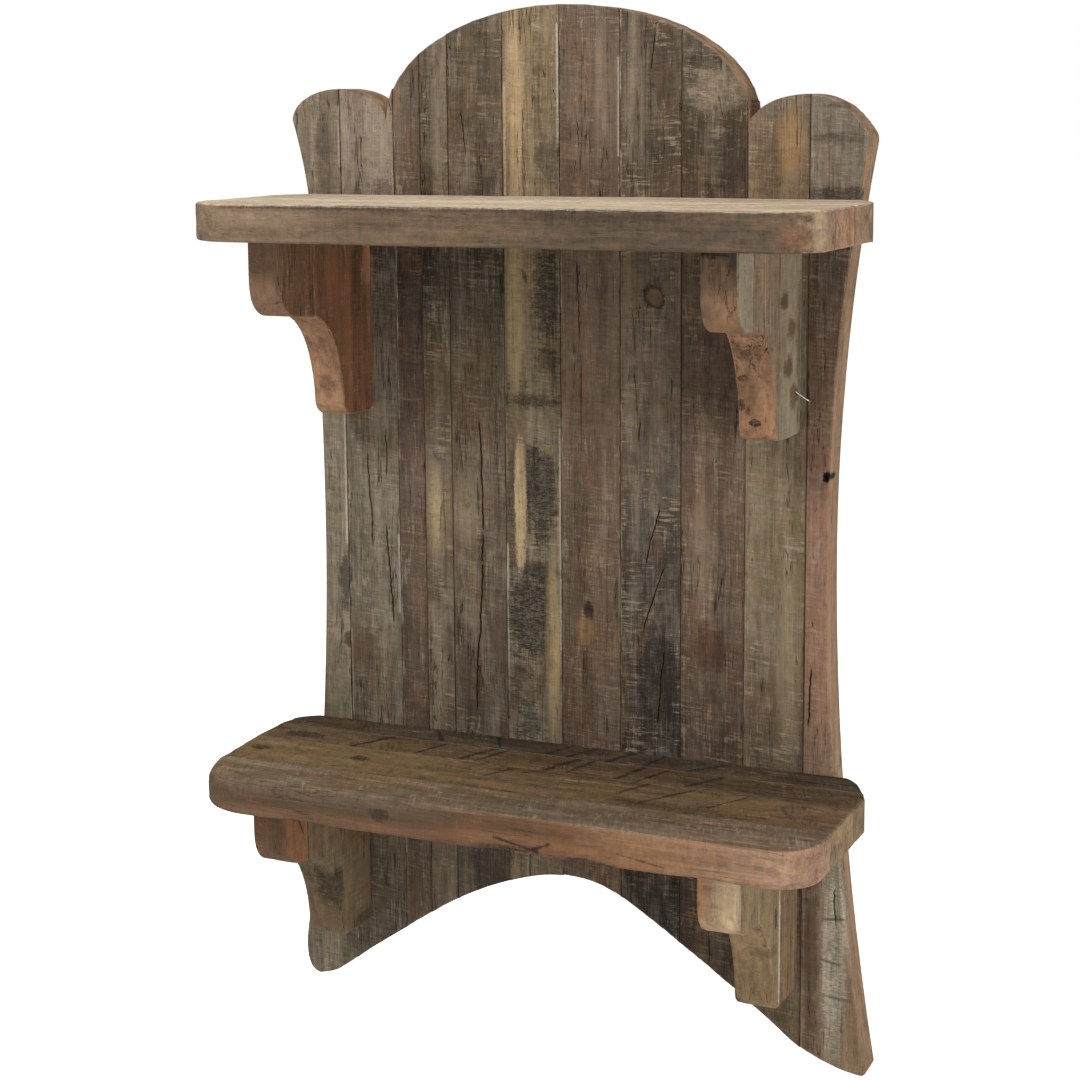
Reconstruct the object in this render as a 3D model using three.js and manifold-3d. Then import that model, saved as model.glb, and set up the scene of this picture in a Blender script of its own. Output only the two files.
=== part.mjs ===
// Wall shelf with brackets, in reclaimed timber.
// A waisted back board carries two shelves, each on two scroll brackets, and hangs on two keyhole plates.
// Millimetres, +Z up, +Y towards the wall. The origin is on the board's back face, between the hanger
// plates; heights in the source count from the top of the upper shelf.
import * as THREE from "three";
import { mergeVertices } from "three/addons/utils/BufferGeometryUtils.js";
import Module from "manifold-3d";

const wasm = await Module();
wasm.setup();

// --- Driving dimensions ---

const GLUE_GAP = 0.3; // between glued or touching pieces
const BOARD_THICKNESS = 31;
const SHELF_THICKNESS = 31;
const SHELF_DEPTH = 200;
const SHELF_SPACING = 480; // top of the upper shelf to top of the lower one
const HANGER_HEIGHT = 25; // above the upper shelf's top
const CURVE_STEPS = 12;

// Glue joints of the back board, left to right, and of the shelves, from the board forwards.
const BOARD_JOINTS = [-213, -160, -134, -107, -55, -2, 53, 108, 165, 218];
const UPPER_SHELF_JOINTS = [48, 98, 150];
const LOWER_SHELF_JOINTS = [36, 78, 142];

// The back board's outline.
const WAIST = { x: 237, z: -287 };
const ARCH = { halfWidth: 167, springing: 65, rise: 95 };
const LEFT_EAR = { centre: -214, halfWidth: 47, rise: 27 };
const RIGHT_EAR = { tipX: 267, tipZ: 46, top: 84 };
const LEFT_FOOT = { x: -267.5, z: -700, sole: -733.5 };
const RIGHT_FOOT = { x: 276, z: -738, sole: -743 };
const CROTCH = { x: 3, z: -602 }; // top of the arch between the feet

const SHELVES = {
  upper: { left: -264, right: 284, leftCorner: 60, rightCorner: 36, top: 0 },
  lower: { left: -270, right: 285, leftCorner: 60, rightCorner: 36, top: -SHELF_SPACING },
};
const SHELF_BACK = { left: -247, right: 258, leftCut: 31, rightCut: 46 };

// Scroll brackets: centre, width, reach from the board, reach at the foot, and the glue joints between
// their layers, measured from the board.
const BRACKET_HEIGHT = 160;
const NOSE_HEIGHT = 65;
const BRACKETS = [
  { name: "bracket_upper_left", shelf: "upper", x: -199.7, width: 30.5, reach: 158, foot: 53, joints: [100] },
  { name: "bracket_upper_right", shelf: "upper", x: 197, width: 31.5, reach: 160, foot: 66, joints: [58, 124] },
  { name: "bracket_lower_left", shelf: "lower", x: -214.5, width: 35, reach: 148, foot: 56, joints: [113] },
  { name: "bracket_lower_right", shelf: "lower", x: 197.5, width: 35, reach: 158, foot: 64, joints: [18, 47] },
];

// Fixings.
const LONG_SCREW = { length: 60, shank: 2.1, head: 4.2, headDepth: 2.3 };
const SHORT_SCREW = { length: 14, shank: 1.4, head: 2.9, headDepth: 1.6 };
const SHELF_SCREW_X = [-187, -81, 81, 192];
const BRACKET_SCREW_DROPS = [42, 122]; // below the shelf's underside
const BRACKET_SCREW_X = { bracket_lower_left: -205 }; // clear of the board's glue joint
const HANGER_X = [-186.5, 191.5];
const HANGER = { width: 20, height: 54, thickness: 2, screwDrop: 20 };
const KEYHOLE = { entry: 5, slot: 2.5, rise: 11 };
const BRAD = { radius: 0.8, length: 30, tip: 3 };

// --- Materials ---

const timber = (color, roughness = 0.82) => new THREE.MeshStandardMaterial({ color, roughness, metalness: 0 });
const steel = (color, roughness) => new THREE.MeshStandardMaterial({ color, roughness, metalness: 1 });

const BOARD_COLOURS = [
  "#756856", "#6d6051", "#605040", "#5f5141", "#605141", "#8a7559",
  "#5c4c3d", "#56473a", "#63503f", "#77654e", "#7e614d",
];
const SHELF_COLOURS = ["#4a3a2c", "#6a5038", "#7a6448", "#7e6753"];
const BRACKET_COLOURS = {
  bracket_upper_left: ["#60422d", "#775b44"],
  bracket_upper_right: ["#796751", "#715944", "#8a7c66"],
  bracket_lower_left: ["#5d4d39", "#7c573d"],
  bracket_lower_right: ["#7c6849", "#7f654e", "#8c7558"],
};
const ZINC = "#b9b7ae";
const BRIGHT_STEEL = "#d8d8d6";

// --- Solids ---

function toSolid(geometry) {
  const bare = geometry.clone();
  bare.deleteAttribute("normal");
  bare.deleteAttribute("uv");
  const merged = mergeVertices(bare, 1e-4);
  const mesh = new wasm.Mesh({
    numProp: 3,
    vertProperties: new Float32Array(merged.attributes.position.array),
    triVerts: new Uint32Array(merged.index.array),
  });
  return new wasm.Manifold(mesh);
}

function toGeometry(solid) {
  const mesh = solid.getMesh();
  const indexed = new THREE.BufferGeometry()
    .setAttribute("position", new THREE.BufferAttribute(mesh.vertProperties, 3))
    .setIndex(new THREE.BufferAttribute(mesh.triVerts, 1));
  const faceted = indexed.toNonIndexed();
  faceted.computeVertexNormals();
  return faceted;
}

// A box from its low and high corners.
function slab([x0, y0, z0], [x1, y1, z1]) {
  const box = new THREE.BoxGeometry(x1 - x0, y1 - y0, z1 - z0);
  box.translate((x0 + x1) / 2, (y0 + y1) / 2, (z0 + z1) / 2);
  return toSolid(box);
}

// A solid turned about the Y axis from [radius, y] pairs, set at a place.
function turned(profile, x, y, z, sides = 12) {
  const lathe = new THREE.LatheGeometry(profile.map(([r, h]) => new THREE.Vector2(r, h)), sides);
  lathe.translate(x, y, z);
  return toSolid(lathe);
}

// --- Back board ---

function boardOutline() {
  const s = new THREE.Shape();
  s.moveTo(-253, LEFT_FOOT.sole);
  // the ogee from the left foot up to the crotch and down to the right foot
  s.splineThru(
    [[-231, -725], [-188, -693], [-105, -638], [-45, -611], [CROTCH.x, CROTCH.z],
      [47, -612], [108, -649], [181, -699], [217, -725.5], [248, -738.5], [271, RIGHT_FOOT.sole]]
      .map(([x, z]) => new THREE.Vector2(x, z)),
  );
  s.quadraticCurveTo(RIGHT_FOOT.x + 1, RIGHT_FOOT.sole, RIGHT_FOOT.x, RIGHT_FOOT.z);
  // the right side bows in to the waist and out again to the ear
  s.quadraticCurveTo(WAIST.x, (WAIST.z + RIGHT_FOOT.z) / 2, WAIST.x, WAIST.z);
  s.quadraticCurveTo(WAIST.x, (WAIST.z + RIGHT_EAR.tipZ) / 2, RIGHT_EAR.tipX, RIGHT_EAR.tipZ);
  s.splineThru(
    [[265, 54.5], [252, 70], [237, 79.5], [218, RIGHT_EAR.top], [193, 81],
      [178, 74.5], [ARCH.halfWidth, ARCH.springing]].map(([x, z]) => new THREE.Vector2(x, z)),
  );
  s.absellipse(0, ARCH.springing, ARCH.halfWidth, ARCH.rise, 0, Math.PI, false);
  s.absellipse(LEFT_EAR.centre, ARCH.springing, LEFT_EAR.halfWidth, LEFT_EAR.rise, 0, Math.PI, false);
  // the left side
  s.quadraticCurveTo(-250.5, 28, -247, 0);
  s.quadraticCurveTo(-WAIST.x, WAIST.z / 2, -WAIST.x, WAIST.z);
  s.quadraticCurveTo(-WAIST.x, (WAIST.z + LEFT_FOOT.z) / 2, LEFT_FOOT.x, LEFT_FOOT.z);
  s.quadraticCurveTo(-269, LEFT_FOOT.sole, -253, LEFT_FOOT.sole);
  return s;
}

// The whole board, its back face at y = 0 and its front face towards -Y.
function boardBlank() {
  const panel = new THREE.ExtrudeGeometry(boardOutline(), {
    depth: BOARD_THICKNESS,
    bevelEnabled: false,
    curveSegments: CURVE_STEPS,
  });
  panel.rotateX(Math.PI / 2);
  return toSolid(panel);
}

// --- Shelves ---

function shelfOutline({ left, right, leftCorner, rightCorner }) {
  const back = -BOARD_THICKNESS - GLUE_GAP;
  const front = -BOARD_THICKNESS - SHELF_DEPTH;
  const s = new THREE.Shape();
  s.moveTo(SHELF_BACK.left, back);
  s.quadraticCurveTo(left + 5, back - 10, left, back - SHELF_BACK.leftCut);
  s.lineTo(left, front + leftCorner);
  s.absarc(left + leftCorner, front + leftCorner, leftCorner, Math.PI, 1.5 * Math.PI, false);
  s.absarc(right - rightCorner, front + rightCorner, rightCorner, 1.5 * Math.PI, 2 * Math.PI, false);
  s.lineTo(right, back - SHELF_BACK.rightCut);
  s.quadraticCurveTo(right - 13, back - 9, SHELF_BACK.right, back);
  s.closePath();
  return s;
}

function shelfBlank(shelf) {
  const panel = new THREE.ExtrudeGeometry(shelfOutline(shelf), {
    depth: SHELF_THICKNESS,
    bevelEnabled: false,
    curveSegments: CURVE_STEPS,
  });
  panel.translate(0, 0, shelf.top - SHELF_THICKNESS);
  return toSolid(panel);
}

// --- Brackets ---

// The side profile: x is the way out from the board, negative, and y is the height under the shelf.
function bracketOutline({ reach, foot }) {
  const s = new THREE.Shape();
  s.moveTo(0, 0);
  s.lineTo(-reach, 0);
  s.lineTo(-reach, -NOSE_HEIGHT / 2);
  s.quadraticCurveTo(-reach, -NOSE_HEIGHT + 3, -reach + 24, -NOSE_HEIGHT);
  s.lineTo(-102, -NOSE_HEIGHT - 3);
  s.bezierCurveTo(-foot - 26, -NOSE_HEIGHT - 6, -foot - 3, -100, -foot, -BRACKET_HEIGHT + 15);
  s.quadraticCurveTo(-foot, -BRACKET_HEIGHT, -foot + 20, -BRACKET_HEIGHT);
  s.lineTo(-9, -BRACKET_HEIGHT);
  s.quadraticCurveTo(0, -BRACKET_HEIGHT, 0, -BRACKET_HEIGHT + 8);
  s.closePath();
  return s;
}

function bracketBlank(bracket) {
  const block = new THREE.ExtrudeGeometry(bracketOutline(bracket), {
    depth: bracket.width,
    bevelEnabled: false,
    curveSegments: CURVE_STEPS,
  });
  const sideways = new THREE.Matrix4().makeBasis(
    new THREE.Vector3(0, 1, 0),
    new THREE.Vector3(0, 0, 1),
    new THREE.Vector3(1, 0, 0),
  );
  block.applyMatrix4(sideways);
  const underside = SHELVES[bracket.shelf].top - SHELF_THICKNESS - GLUE_GAP;
  block.translate(bracket.x - bracket.width / 2, -BOARD_THICKNESS - GLUE_GAP, underside);
  return toSolid(block);
}

// --- Screws and their holes ---

// A countersunk wood screw driven towards -Y, its head just under y = 0, with a cross recess.
function screwSolid({ length, shank, head, headDepth }, x, y, z) {
  const profile = [
    [0, -length], [shank * 0.5, -length + 2], [shank, -length + 6],
    [shank, -headDepth], [head, -0.3], [head, 0], [0, 0],
  ];
  const arm = head * 0.62;
  const slot = head * 0.14;
  const depth = headDepth * 0.6;
  const body = turned(profile, x, y, z, 16);
  const upright = slab([x - slot, y - depth, z - arm], [x + slot, y + 1, z + arm]);
  const level = slab([x - arm, y - depth, z - slot], [x + arm, y + 1, z + slot]);
  return body.subtract(upright).subtract(level);
}

// The clearance hole and countersink for that screw.
function screwHole({ length, shank, head, headDepth }, x, y, z) {
  const profile = [
    [0, -length - 1], [shank + 0.4, -length - 1], [shank + 0.4, -headDepth - 0.4],
    [head + 0.45, -0.5], [head + 0.45, 3], [0, 3],
  ];
  return turned(profile, x, y, z);
}

const LONG_SCREW_Y = -0.5;
const longScrews = [];
for (const [name, shelf] of Object.entries(SHELVES)) {
  SHELF_SCREW_X.forEach((x, i) => {
    longScrews.push({ name: `${name}_shelf_screw_${i + 1}`, x, z: shelf.top - SHELF_THICKNESS / 2 });
  });
}
for (const bracket of BRACKETS) {
  BRACKET_SCREW_DROPS.forEach((drop, i) => {
    const x = BRACKET_SCREW_X[bracket.name] ?? bracket.x;
    const z = SHELVES[bracket.shelf].top - SHELF_THICKNESS - drop;
    longScrews.push({ name: `${bracket.name}_screw_${i + 1}`, x, z });
  });
}

// --- Keyhole hanger plates ---

const PLATE_BACK = -0.2; // just under the board's back face
const PLATE_FRONT = PLATE_BACK - HANGER.thickness;

function keyholePath() {
  const hole = new THREE.Path();
  const meet = Math.acos(KEYHOLE.slot / KEYHOLE.entry);
  hole.absarc(0, 0, KEYHOLE.entry, Math.PI - meet, 2 * Math.PI + meet, false);
  hole.absarc(0, KEYHOLE.rise, KEYHOLE.slot, 0, Math.PI, false);
  hole.closePath();
  return hole;
}

function roundedPlate(width, height, corner) {
  const s = new THREE.Shape();
  const [w, h] = [width / 2 - corner, height / 2 - corner];
  s.absarc(w, h, corner, 0, Math.PI / 2, false);
  s.absarc(-w, h, corner, Math.PI / 2, Math.PI, false);
  s.absarc(-w, -h, corner, Math.PI, 1.5 * Math.PI, false);
  s.absarc(w, -h, corner, 1.5 * Math.PI, 2 * Math.PI, false);
  s.closePath();
  return s;
}

// A flat shape in the wall plane, filling y from back - depth to back.
function upright(shape, depth, x, back, z) {
  const flat = new THREE.ExtrudeGeometry(shape, { depth, bevelEnabled: false, curveSegments: 6 });
  flat.rotateX(Math.PI / 2);
  flat.translate(x, back, z);
  return toSolid(flat);
}

const hangerScrews = HANGER_X.flatMap((x, i) =>
  [-1, 1].map((end, j) => ({
    name: `hanger_${i + 1}_screw_${j + 1}`,
    x,
    z: HANGER_HEIGHT + end * HANGER.screwDrop,
  })),
);

function hangerPlate(x) {
  const outline = roundedPlate(HANGER.width, HANGER.height, 8);
  outline.holes.push(keyholePath());
  const plate = upright(outline, HANGER.thickness, x, PLATE_BACK, HANGER_HEIGHT);
  return hangerScrews
    .filter((screw) => screw.x === x)
    .reduce((cut, { z }) => cut.subtract(screwHole(SHORT_SCREW, x, PLATE_BACK - 0.1, z)), plate);
}

// The recess that takes the plate, and the deeper slot behind it for the head of the wall screw.
function hangerRecess(x) {
  const shallow = upright(
    roundedPlate(HANGER.width + 0.8, HANGER.height + 0.8, 8.4),
    -PLATE_FRONT + 1.3, x, 1, HANGER_HEIGHT,
  );
  const deep = upright(roundedPlate(13, 27, 6.4), 12, x, 1, HANGER_HEIGHT + 6);
  return shallow.add(deep);
}

// --- Brad ---

const upperRight = BRACKETS[1];
const BRAD_ENTRY = new THREE.Vector3(upperRight.x + upperRight.width / 2, -BOARD_THICKNESS - 14, -155.5);
const BRAD_DIRECTION = new THREE.Vector3(11, 3, -8).normalize();
const BRAD_PROUD = 14;

// A rod along the brad's line, from one distance to another, measured from where it leaves the wood.
function bradRod(radiusFrom, radiusTo, from, to) {
  const rod = new THREE.CylinderGeometry(radiusTo, radiusFrom, to - from, 10);
  rod.translate(0, (from + to) / 2, 0);
  rod.applyQuaternion(new THREE.Quaternion().setFromUnitVectors(new THREE.Vector3(0, 1, 0), BRAD_DIRECTION));
  rod.translate(BRAD_ENTRY.x, BRAD_ENTRY.y, BRAD_ENTRY.z);
  return toSolid(rod);
}

// --- Assembly ---

const shelfGroup = new THREE.Group();
shelfGroup.position.z = -HANGER_HEIGHT;

function addPiece(name, solid, material) {
  const mesh = new THREE.Mesh(toGeometry(solid), material);
  mesh.name = name;
  shelfGroup.add(mesh);
}

// Cuts a blank into pieces at its glue joints along one axis, each joint GLUE_GAP wide.
function splitAt(blank, joints, axis, far = 2000) {
  const edges = [-far, ...joints, far];
  return edges.slice(1).map((high, i) => {
    const low = [-far, -far, -far];
    const top = [far, far, far];
    low[axis] = edges[i] + GLUE_GAP / 2;
    top[axis] = high - GLUE_GAP / 2;
    return blank.intersect(slab(low, top));
  });
}

const longHoles = longScrews.map(({ x, z }) => ({ x, z, hole: screwHole(LONG_SCREW, x, LONG_SCREW_Y, z) }));

// Takes the screw holes out of a piece, where they meet it.
function drilled(solid, holes = longHoles) {
  const box = solid.boundingBox();
  const reach = 5;
  return holes
    .filter(({ x, z }) => x > box.min[0] - reach && x < box.max[0] + reach)
    .filter(({ z }) => z > box.min[2] - reach && z < box.max[2] + reach)
    .reduce((cut, { hole }) => cut.subtract(hole), solid);
}

const shortHoles = hangerScrews.map(({ x, z }) => ({ x, z, hole: screwHole(SHORT_SCREW, x, PLATE_BACK - 0.1, z) }));

splitAt(boardBlank(), BOARD_JOINTS, 0).forEach((strip, i) => {
  let piece = drilled(drilled(strip), shortHoles);
  for (const x of HANGER_X) {
    const box = piece.boundingBox();
    if (x > box.min[0] && x < box.max[0]) piece = piece.subtract(hangerRecess(x));
  }
  addPiece(`board_strip_${String(i + 1).padStart(2, "0")}`, piece, timber(BOARD_COLOURS[i]));
});

for (const [name, joints] of [["upper", UPPER_SHELF_JOINTS], ["lower", LOWER_SHELF_JOINTS]]) {
  const planes = joints.map((depth) => -BOARD_THICKNESS - depth).reverse();
  const strips = splitAt(shelfBlank(SHELVES[name]), planes, 1).reverse();
  strips.forEach((strip, i) => {
    addPiece(`${name}_shelf_strip_${i + 1}`, drilled(strip), timber(SHELF_COLOURS[i]));
  });
}

for (const bracket of BRACKETS) {
  const planes = bracket.joints.map((depth) => -BOARD_THICKNESS - depth).reverse();
  const layers = splitAt(bracketBlank(bracket), planes, 1).reverse();
  layers.forEach((layer, i) => {
    let piece = drilled(layer);
    if (bracket === upperRight) {
      piece = piece.subtract(bradRod(BRAD.radius + 0.4, BRAD.radius + 0.4, BRAD_PROUD - BRAD.length - 1, 3));
    }
    addPiece(`${bracket.name}_layer_${i + 1}`, piece, timber(BRACKET_COLOURS[bracket.name][i]));
  });
}

for (const { name, x, z } of longScrews) {
  addPiece(name, screwSolid(LONG_SCREW, x, LONG_SCREW_Y, z), steel(ZINC, 0.4));
}
HANGER_X.forEach((x, i) => {
  addPiece(`hanger_plate_${i + 1}`, hangerPlate(x), steel(ZINC, 0.45));
});
for (const { name, x, z } of hangerScrews) {
  addPiece(name, screwSolid(SHORT_SCREW, x, PLATE_BACK - 0.1, z), steel(ZINC, 0.4));
}
const bradShank = bradRod(BRAD.radius, BRAD.radius, BRAD_PROUD - BRAD.length, BRAD_PROUD - BRAD.tip);
const bradPoint = bradRod(BRAD.radius, 0.1, BRAD_PROUD - BRAD.tip - 0.01, BRAD_PROUD);
addPiece("brad_nail", bradShank.add(bradPoint), steel(BRIGHT_STEEL, 0.2));

export default shelfGroup;
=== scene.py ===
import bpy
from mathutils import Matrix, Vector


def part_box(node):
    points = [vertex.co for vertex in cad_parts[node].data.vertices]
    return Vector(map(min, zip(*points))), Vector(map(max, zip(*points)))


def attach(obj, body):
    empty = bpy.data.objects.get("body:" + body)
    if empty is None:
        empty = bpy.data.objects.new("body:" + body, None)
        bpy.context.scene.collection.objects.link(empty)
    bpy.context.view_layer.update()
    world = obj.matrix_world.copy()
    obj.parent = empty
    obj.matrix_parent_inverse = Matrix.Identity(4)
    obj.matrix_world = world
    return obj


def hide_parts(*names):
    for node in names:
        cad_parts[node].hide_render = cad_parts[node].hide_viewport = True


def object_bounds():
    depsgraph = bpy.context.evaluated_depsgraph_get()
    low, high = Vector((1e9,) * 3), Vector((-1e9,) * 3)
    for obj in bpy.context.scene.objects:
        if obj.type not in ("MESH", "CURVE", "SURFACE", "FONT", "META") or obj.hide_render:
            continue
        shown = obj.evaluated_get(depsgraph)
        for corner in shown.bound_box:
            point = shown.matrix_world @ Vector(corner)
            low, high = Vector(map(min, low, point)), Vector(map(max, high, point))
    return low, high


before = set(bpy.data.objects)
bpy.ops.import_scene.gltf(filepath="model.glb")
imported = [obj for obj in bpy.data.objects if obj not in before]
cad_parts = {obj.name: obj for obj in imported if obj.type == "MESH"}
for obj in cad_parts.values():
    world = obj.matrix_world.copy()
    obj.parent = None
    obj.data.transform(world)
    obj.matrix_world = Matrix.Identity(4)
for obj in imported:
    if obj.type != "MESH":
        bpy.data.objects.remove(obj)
CAD_BOX = [list(corner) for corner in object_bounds()]

import math
from random import Random

import bmesh
import bpy
from bpy.props import FloatProperty, FloatVectorProperty, PointerProperty
from mathutils import Matrix, Vector, noise
from mathutils.kdtree import KDTree

bl_info = {
    "name": "Reclaimed wall shelf",
    "version": (1, 0, 0),
    "blender": (4, 5, 0),
    "location": "3D View > Sidebar > Wall shelf",
    "description": "Finishes the joinery frame of a wall shelf in worn, reclaimed timber",
    "category": "Object",
}

MM = 0.001
ALONG_X, ALONG_Y, ALONG_Z = 0, 1, 2


def linear(code):
    """An sRGB hex colour as linear RGB. A colour that is linear already comes back as it is."""
    if not isinstance(code, str):
        return tuple(code)
    parts = [int(code[i:i + 2], 16) / 255 for i in (1, 3, 5)]
    return tuple(c / 12.92 if c <= 0.04045 else ((c + 0.055) / 1.055) ** 2.4 for c in parts)


def rgba(code):
    return (*linear(code), 1.0)


# --- Sizes and colours a user would change ---


class BoardSettings(bpy.types.PropertyGroup):
    arris: FloatProperty(name="Worn arris", description="Width rubbed off the board's outer edges",
                         default=1.6 * MM, min=0.1 * MM, unit="LENGTH")
    seam: FloatProperty(name="Seam", description="Width eased off each lath beside a glue joint",
                        default=0.15 * MM, min=0.05 * MM, unit="LENGTH")
    wear: FloatProperty(name="Surface wear", description="Depth of the hollows worn into the faces",
                        default=0.7 * MM, min=0.0, unit="LENGTH")
    sawn_edge: FloatVectorProperty(name="Sawn edge", description="Colour of the sawn outline",
                                   subtype="COLOR", size=3, min=0, max=1, default=linear("#93755a"))


class ShelfSettings(bpy.types.PropertyGroup):
    arris: FloatProperty(name="Worn arris", description="Width rubbed off the shelves' edges",
                         default=1.9 * MM, min=0.1 * MM, unit="LENGTH")
    seam: FloatProperty(name="Seam", description="Width eased off each strip beside a glue joint",
                        default=0.15 * MM, min=0.05 * MM, unit="LENGTH")
    wear: FloatProperty(name="Surface wear", description="Depth of the hollows worn into the faces",
                        default=0.8 * MM, min=0.0, unit="LENGTH")
    rubbed: FloatProperty(name="Rubbed corner",
                          description="Radius rubbed onto the lower shelf's left front corner",
                          default=15 * MM, min=1 * MM, unit="LENGTH")


class BracketSettings(bpy.types.PropertyGroup):
    arris: FloatProperty(name="Worn arris", description="Width rubbed off the brackets' edges",
                         default=2.0 * MM, min=0.1 * MM, unit="LENGTH")
    seam: FloatProperty(name="Seam", description="Width eased off each layer beside a glue joint",
                        default=0.15 * MM, min=0.05 * MM, unit="LENGTH")
    wear: FloatProperty(name="Surface wear", description="Depth of the hollows worn into the faces",
                        default=0.9 * MM, min=0.0, unit="LENGTH")


class StageSettings(bpy.types.PropertyGroup):
    lens: FloatProperty(name="Lens", description="Focal length", default=73.02 * MM, unit="CAMERA")
    key: FloatProperty(name="Key light", description="Power of the large softbox", default=50.0,
                       unit="POWER")
    top: FloatProperty(name="Top light", description="Power of the softbox overhead", default=18.0,
                       unit="POWER")
    side: FloatProperty(name="Side light", description="Power of the softbox on the right", default=24.0,
                        unit="POWER")
    dome: FloatProperty(name="Dome", description="Strength of the even light all round", default=0.20)
    table: FloatProperty(name="Lit floor", description="Light that the floor gives off", default=0.26)
    floor: FloatVectorProperty(name="Floor", description="Colour of the floor", subtype="COLOR", size=3,
                               min=0, max=1, default=linear("#f2f1ee"))


# --- Modelling helpers ---

MERGE_DISTANCE = 0.01 * MM  # the CAD's corners are at least this far apart
FLAT_ANGLE = math.radians(0.4)  # facets that lie flatter than this are one face
ARRIS_ANGLE = math.radians(24)  # edges sharper than this are rubbed
SMOOTH_ANGLE = math.radians(38)  # edges flatter than this are shaded round
JOINT_TOLERANCE = 0.03 * MM
HOLE_REACH = 6.2 * MM  # no arris is rubbed this near a screw or the brad
PLATE_REACH = (13.5 * MM, 44.55 * MM)  # nor this near a keyhole plate, across and up
RECESS_FRONT = -16 * MM  # the plates' recesses lie behind this
LATH_GRID = (5 * MM, 7 * MM, 6 * MM)  # size of the cells that each piece's faces are cut into
SHELF_GRID = (6 * MM, 5 * MM, 5 * MM)
BRACKET_GRID = (4 * MM, 4 * MM, 4 * MM)
UNEVEN_FRONT = 0.4 * MM  # how far one lath's face may lie behind the next one's
SPLIT_DEPTH = 2.2 * MM
SPLIT_TAPER = 9 * MM  # a split closes over this length at each end
HOLLOW_WIDTH, HOLLOW_LENGTH = 16 * MM, 110 * MM  # of the broad hollows, across and along the grain


def edit(piece):
    """Makes a piece the only selected object and opens it for editing, with all of it selected."""
    if bpy.context.object and bpy.context.object.mode != "OBJECT":
        bpy.ops.object.mode_set(mode="OBJECT")
    bpy.ops.object.select_all(action="DESELECT")
    piece.select_set(True)
    bpy.context.view_layer.objects.active = piece
    bpy.ops.object.mode_set(mode="EDIT")
    bpy.ops.mesh.select_mode(type="EDGE")
    bpy.ops.mesh.select_all(action="SELECT")


def near_fixing(point):
    """Whether a point is at a screw hole, a hanger recess or the brad's hole."""
    for x, z, wide, tall, front in FIXINGS:
        if abs(point.x - x) < wide and abs(point.z - z) < tall:
            return point.y > front
    return False


def select_arrises(piece, axis, joints, at_joints):
    """Selects the sharp outer edges, either those in a glue joint's plane or the others."""
    mesh = bmesh.from_edit_mesh(piece.data)
    chosen = 0
    for edge in mesh.edges:
        edge.select = False
        if len(edge.link_faces) != 2 or not edge.is_convex or edge.calc_face_angle() < ARRIS_ANGLE:
            continue
        ends = [v.co for v in edge.verts]
        if near_fixing((ends[0] + ends[1]) / 2):
            continue
        in_joint = any(all(abs(e[axis] - j) < JOINT_TOLERANCE for e in ends) for j in joints)
        if in_joint == at_joints:
            edge.select = True
            chosen += 1
    mesh.select_flush_mode()
    bmesh.update_edit_mesh(piece.data)
    return chosen


class Split:
    """An open split along the grain, between two (across, along) points in mm on one face of a piece."""

    def __init__(self, grain, seed, across, start, finish, width, facing=(0, -1, 0)):
        (self.u0, self.v0), (self.u1, self.v1) = sorted((start, finish), key=lambda end: end[1])
        self.grain, self.across, self.seed = grain, across, seed
        self.width, self.facing = width * MM, Vector(facing)

    def aside(self, p):
        """How far a point is from the split's wandering line, and how far inside its ends, in metres."""
        v = p[self.grain] / MM
        share = (v - self.v0) / (self.v1 - self.v0)
        wander = 1.7 * noise.noise(Vector((v / 21, self.seed, 0.3)))
        wander += 0.7 * noise.noise(Vector((v / 5, self.seed, 7)))
        u = self.u0 + (self.u1 - self.u0) * share + wander
        return p[self.across] - u * MM, min(v - self.v0, self.v1 - v) * MM

    def depth(self, p, normal):
        """How open the split is at a point, from 0 to 1."""
        if normal.dot(self.facing) < 0.6:
            return 0.0
        off, inside = self.aside(p)
        if inside < 0:
            return 0.0
        return max(0.0, 1 - abs(off) / (0.85 * self.width)) * min(1.0, inside / SPLIT_TAPER)


def refine_along(piece, splits):
    """Cuts the grid finer beside each split, so that its groove is in the mesh."""
    for _ in range(2):
        mesh = bmesh.from_edit_mesh(piece.data)
        bpy.ops.mesh.select_all(action="DESELECT")
        found = False
        for face in mesh.faces:
            centre = face.calc_center_median()
            for split in splits:
                off, inside = split.aside(centre)
                if abs(off) < 4 * MM and inside > -3 * MM and face.normal.dot(split.facing) > 0.7:
                    face.select = found = True
        bmesh.update_edit_mesh(piece.data)
        if found:
            bpy.ops.mesh.subdivide(number_cuts=1)


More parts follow.
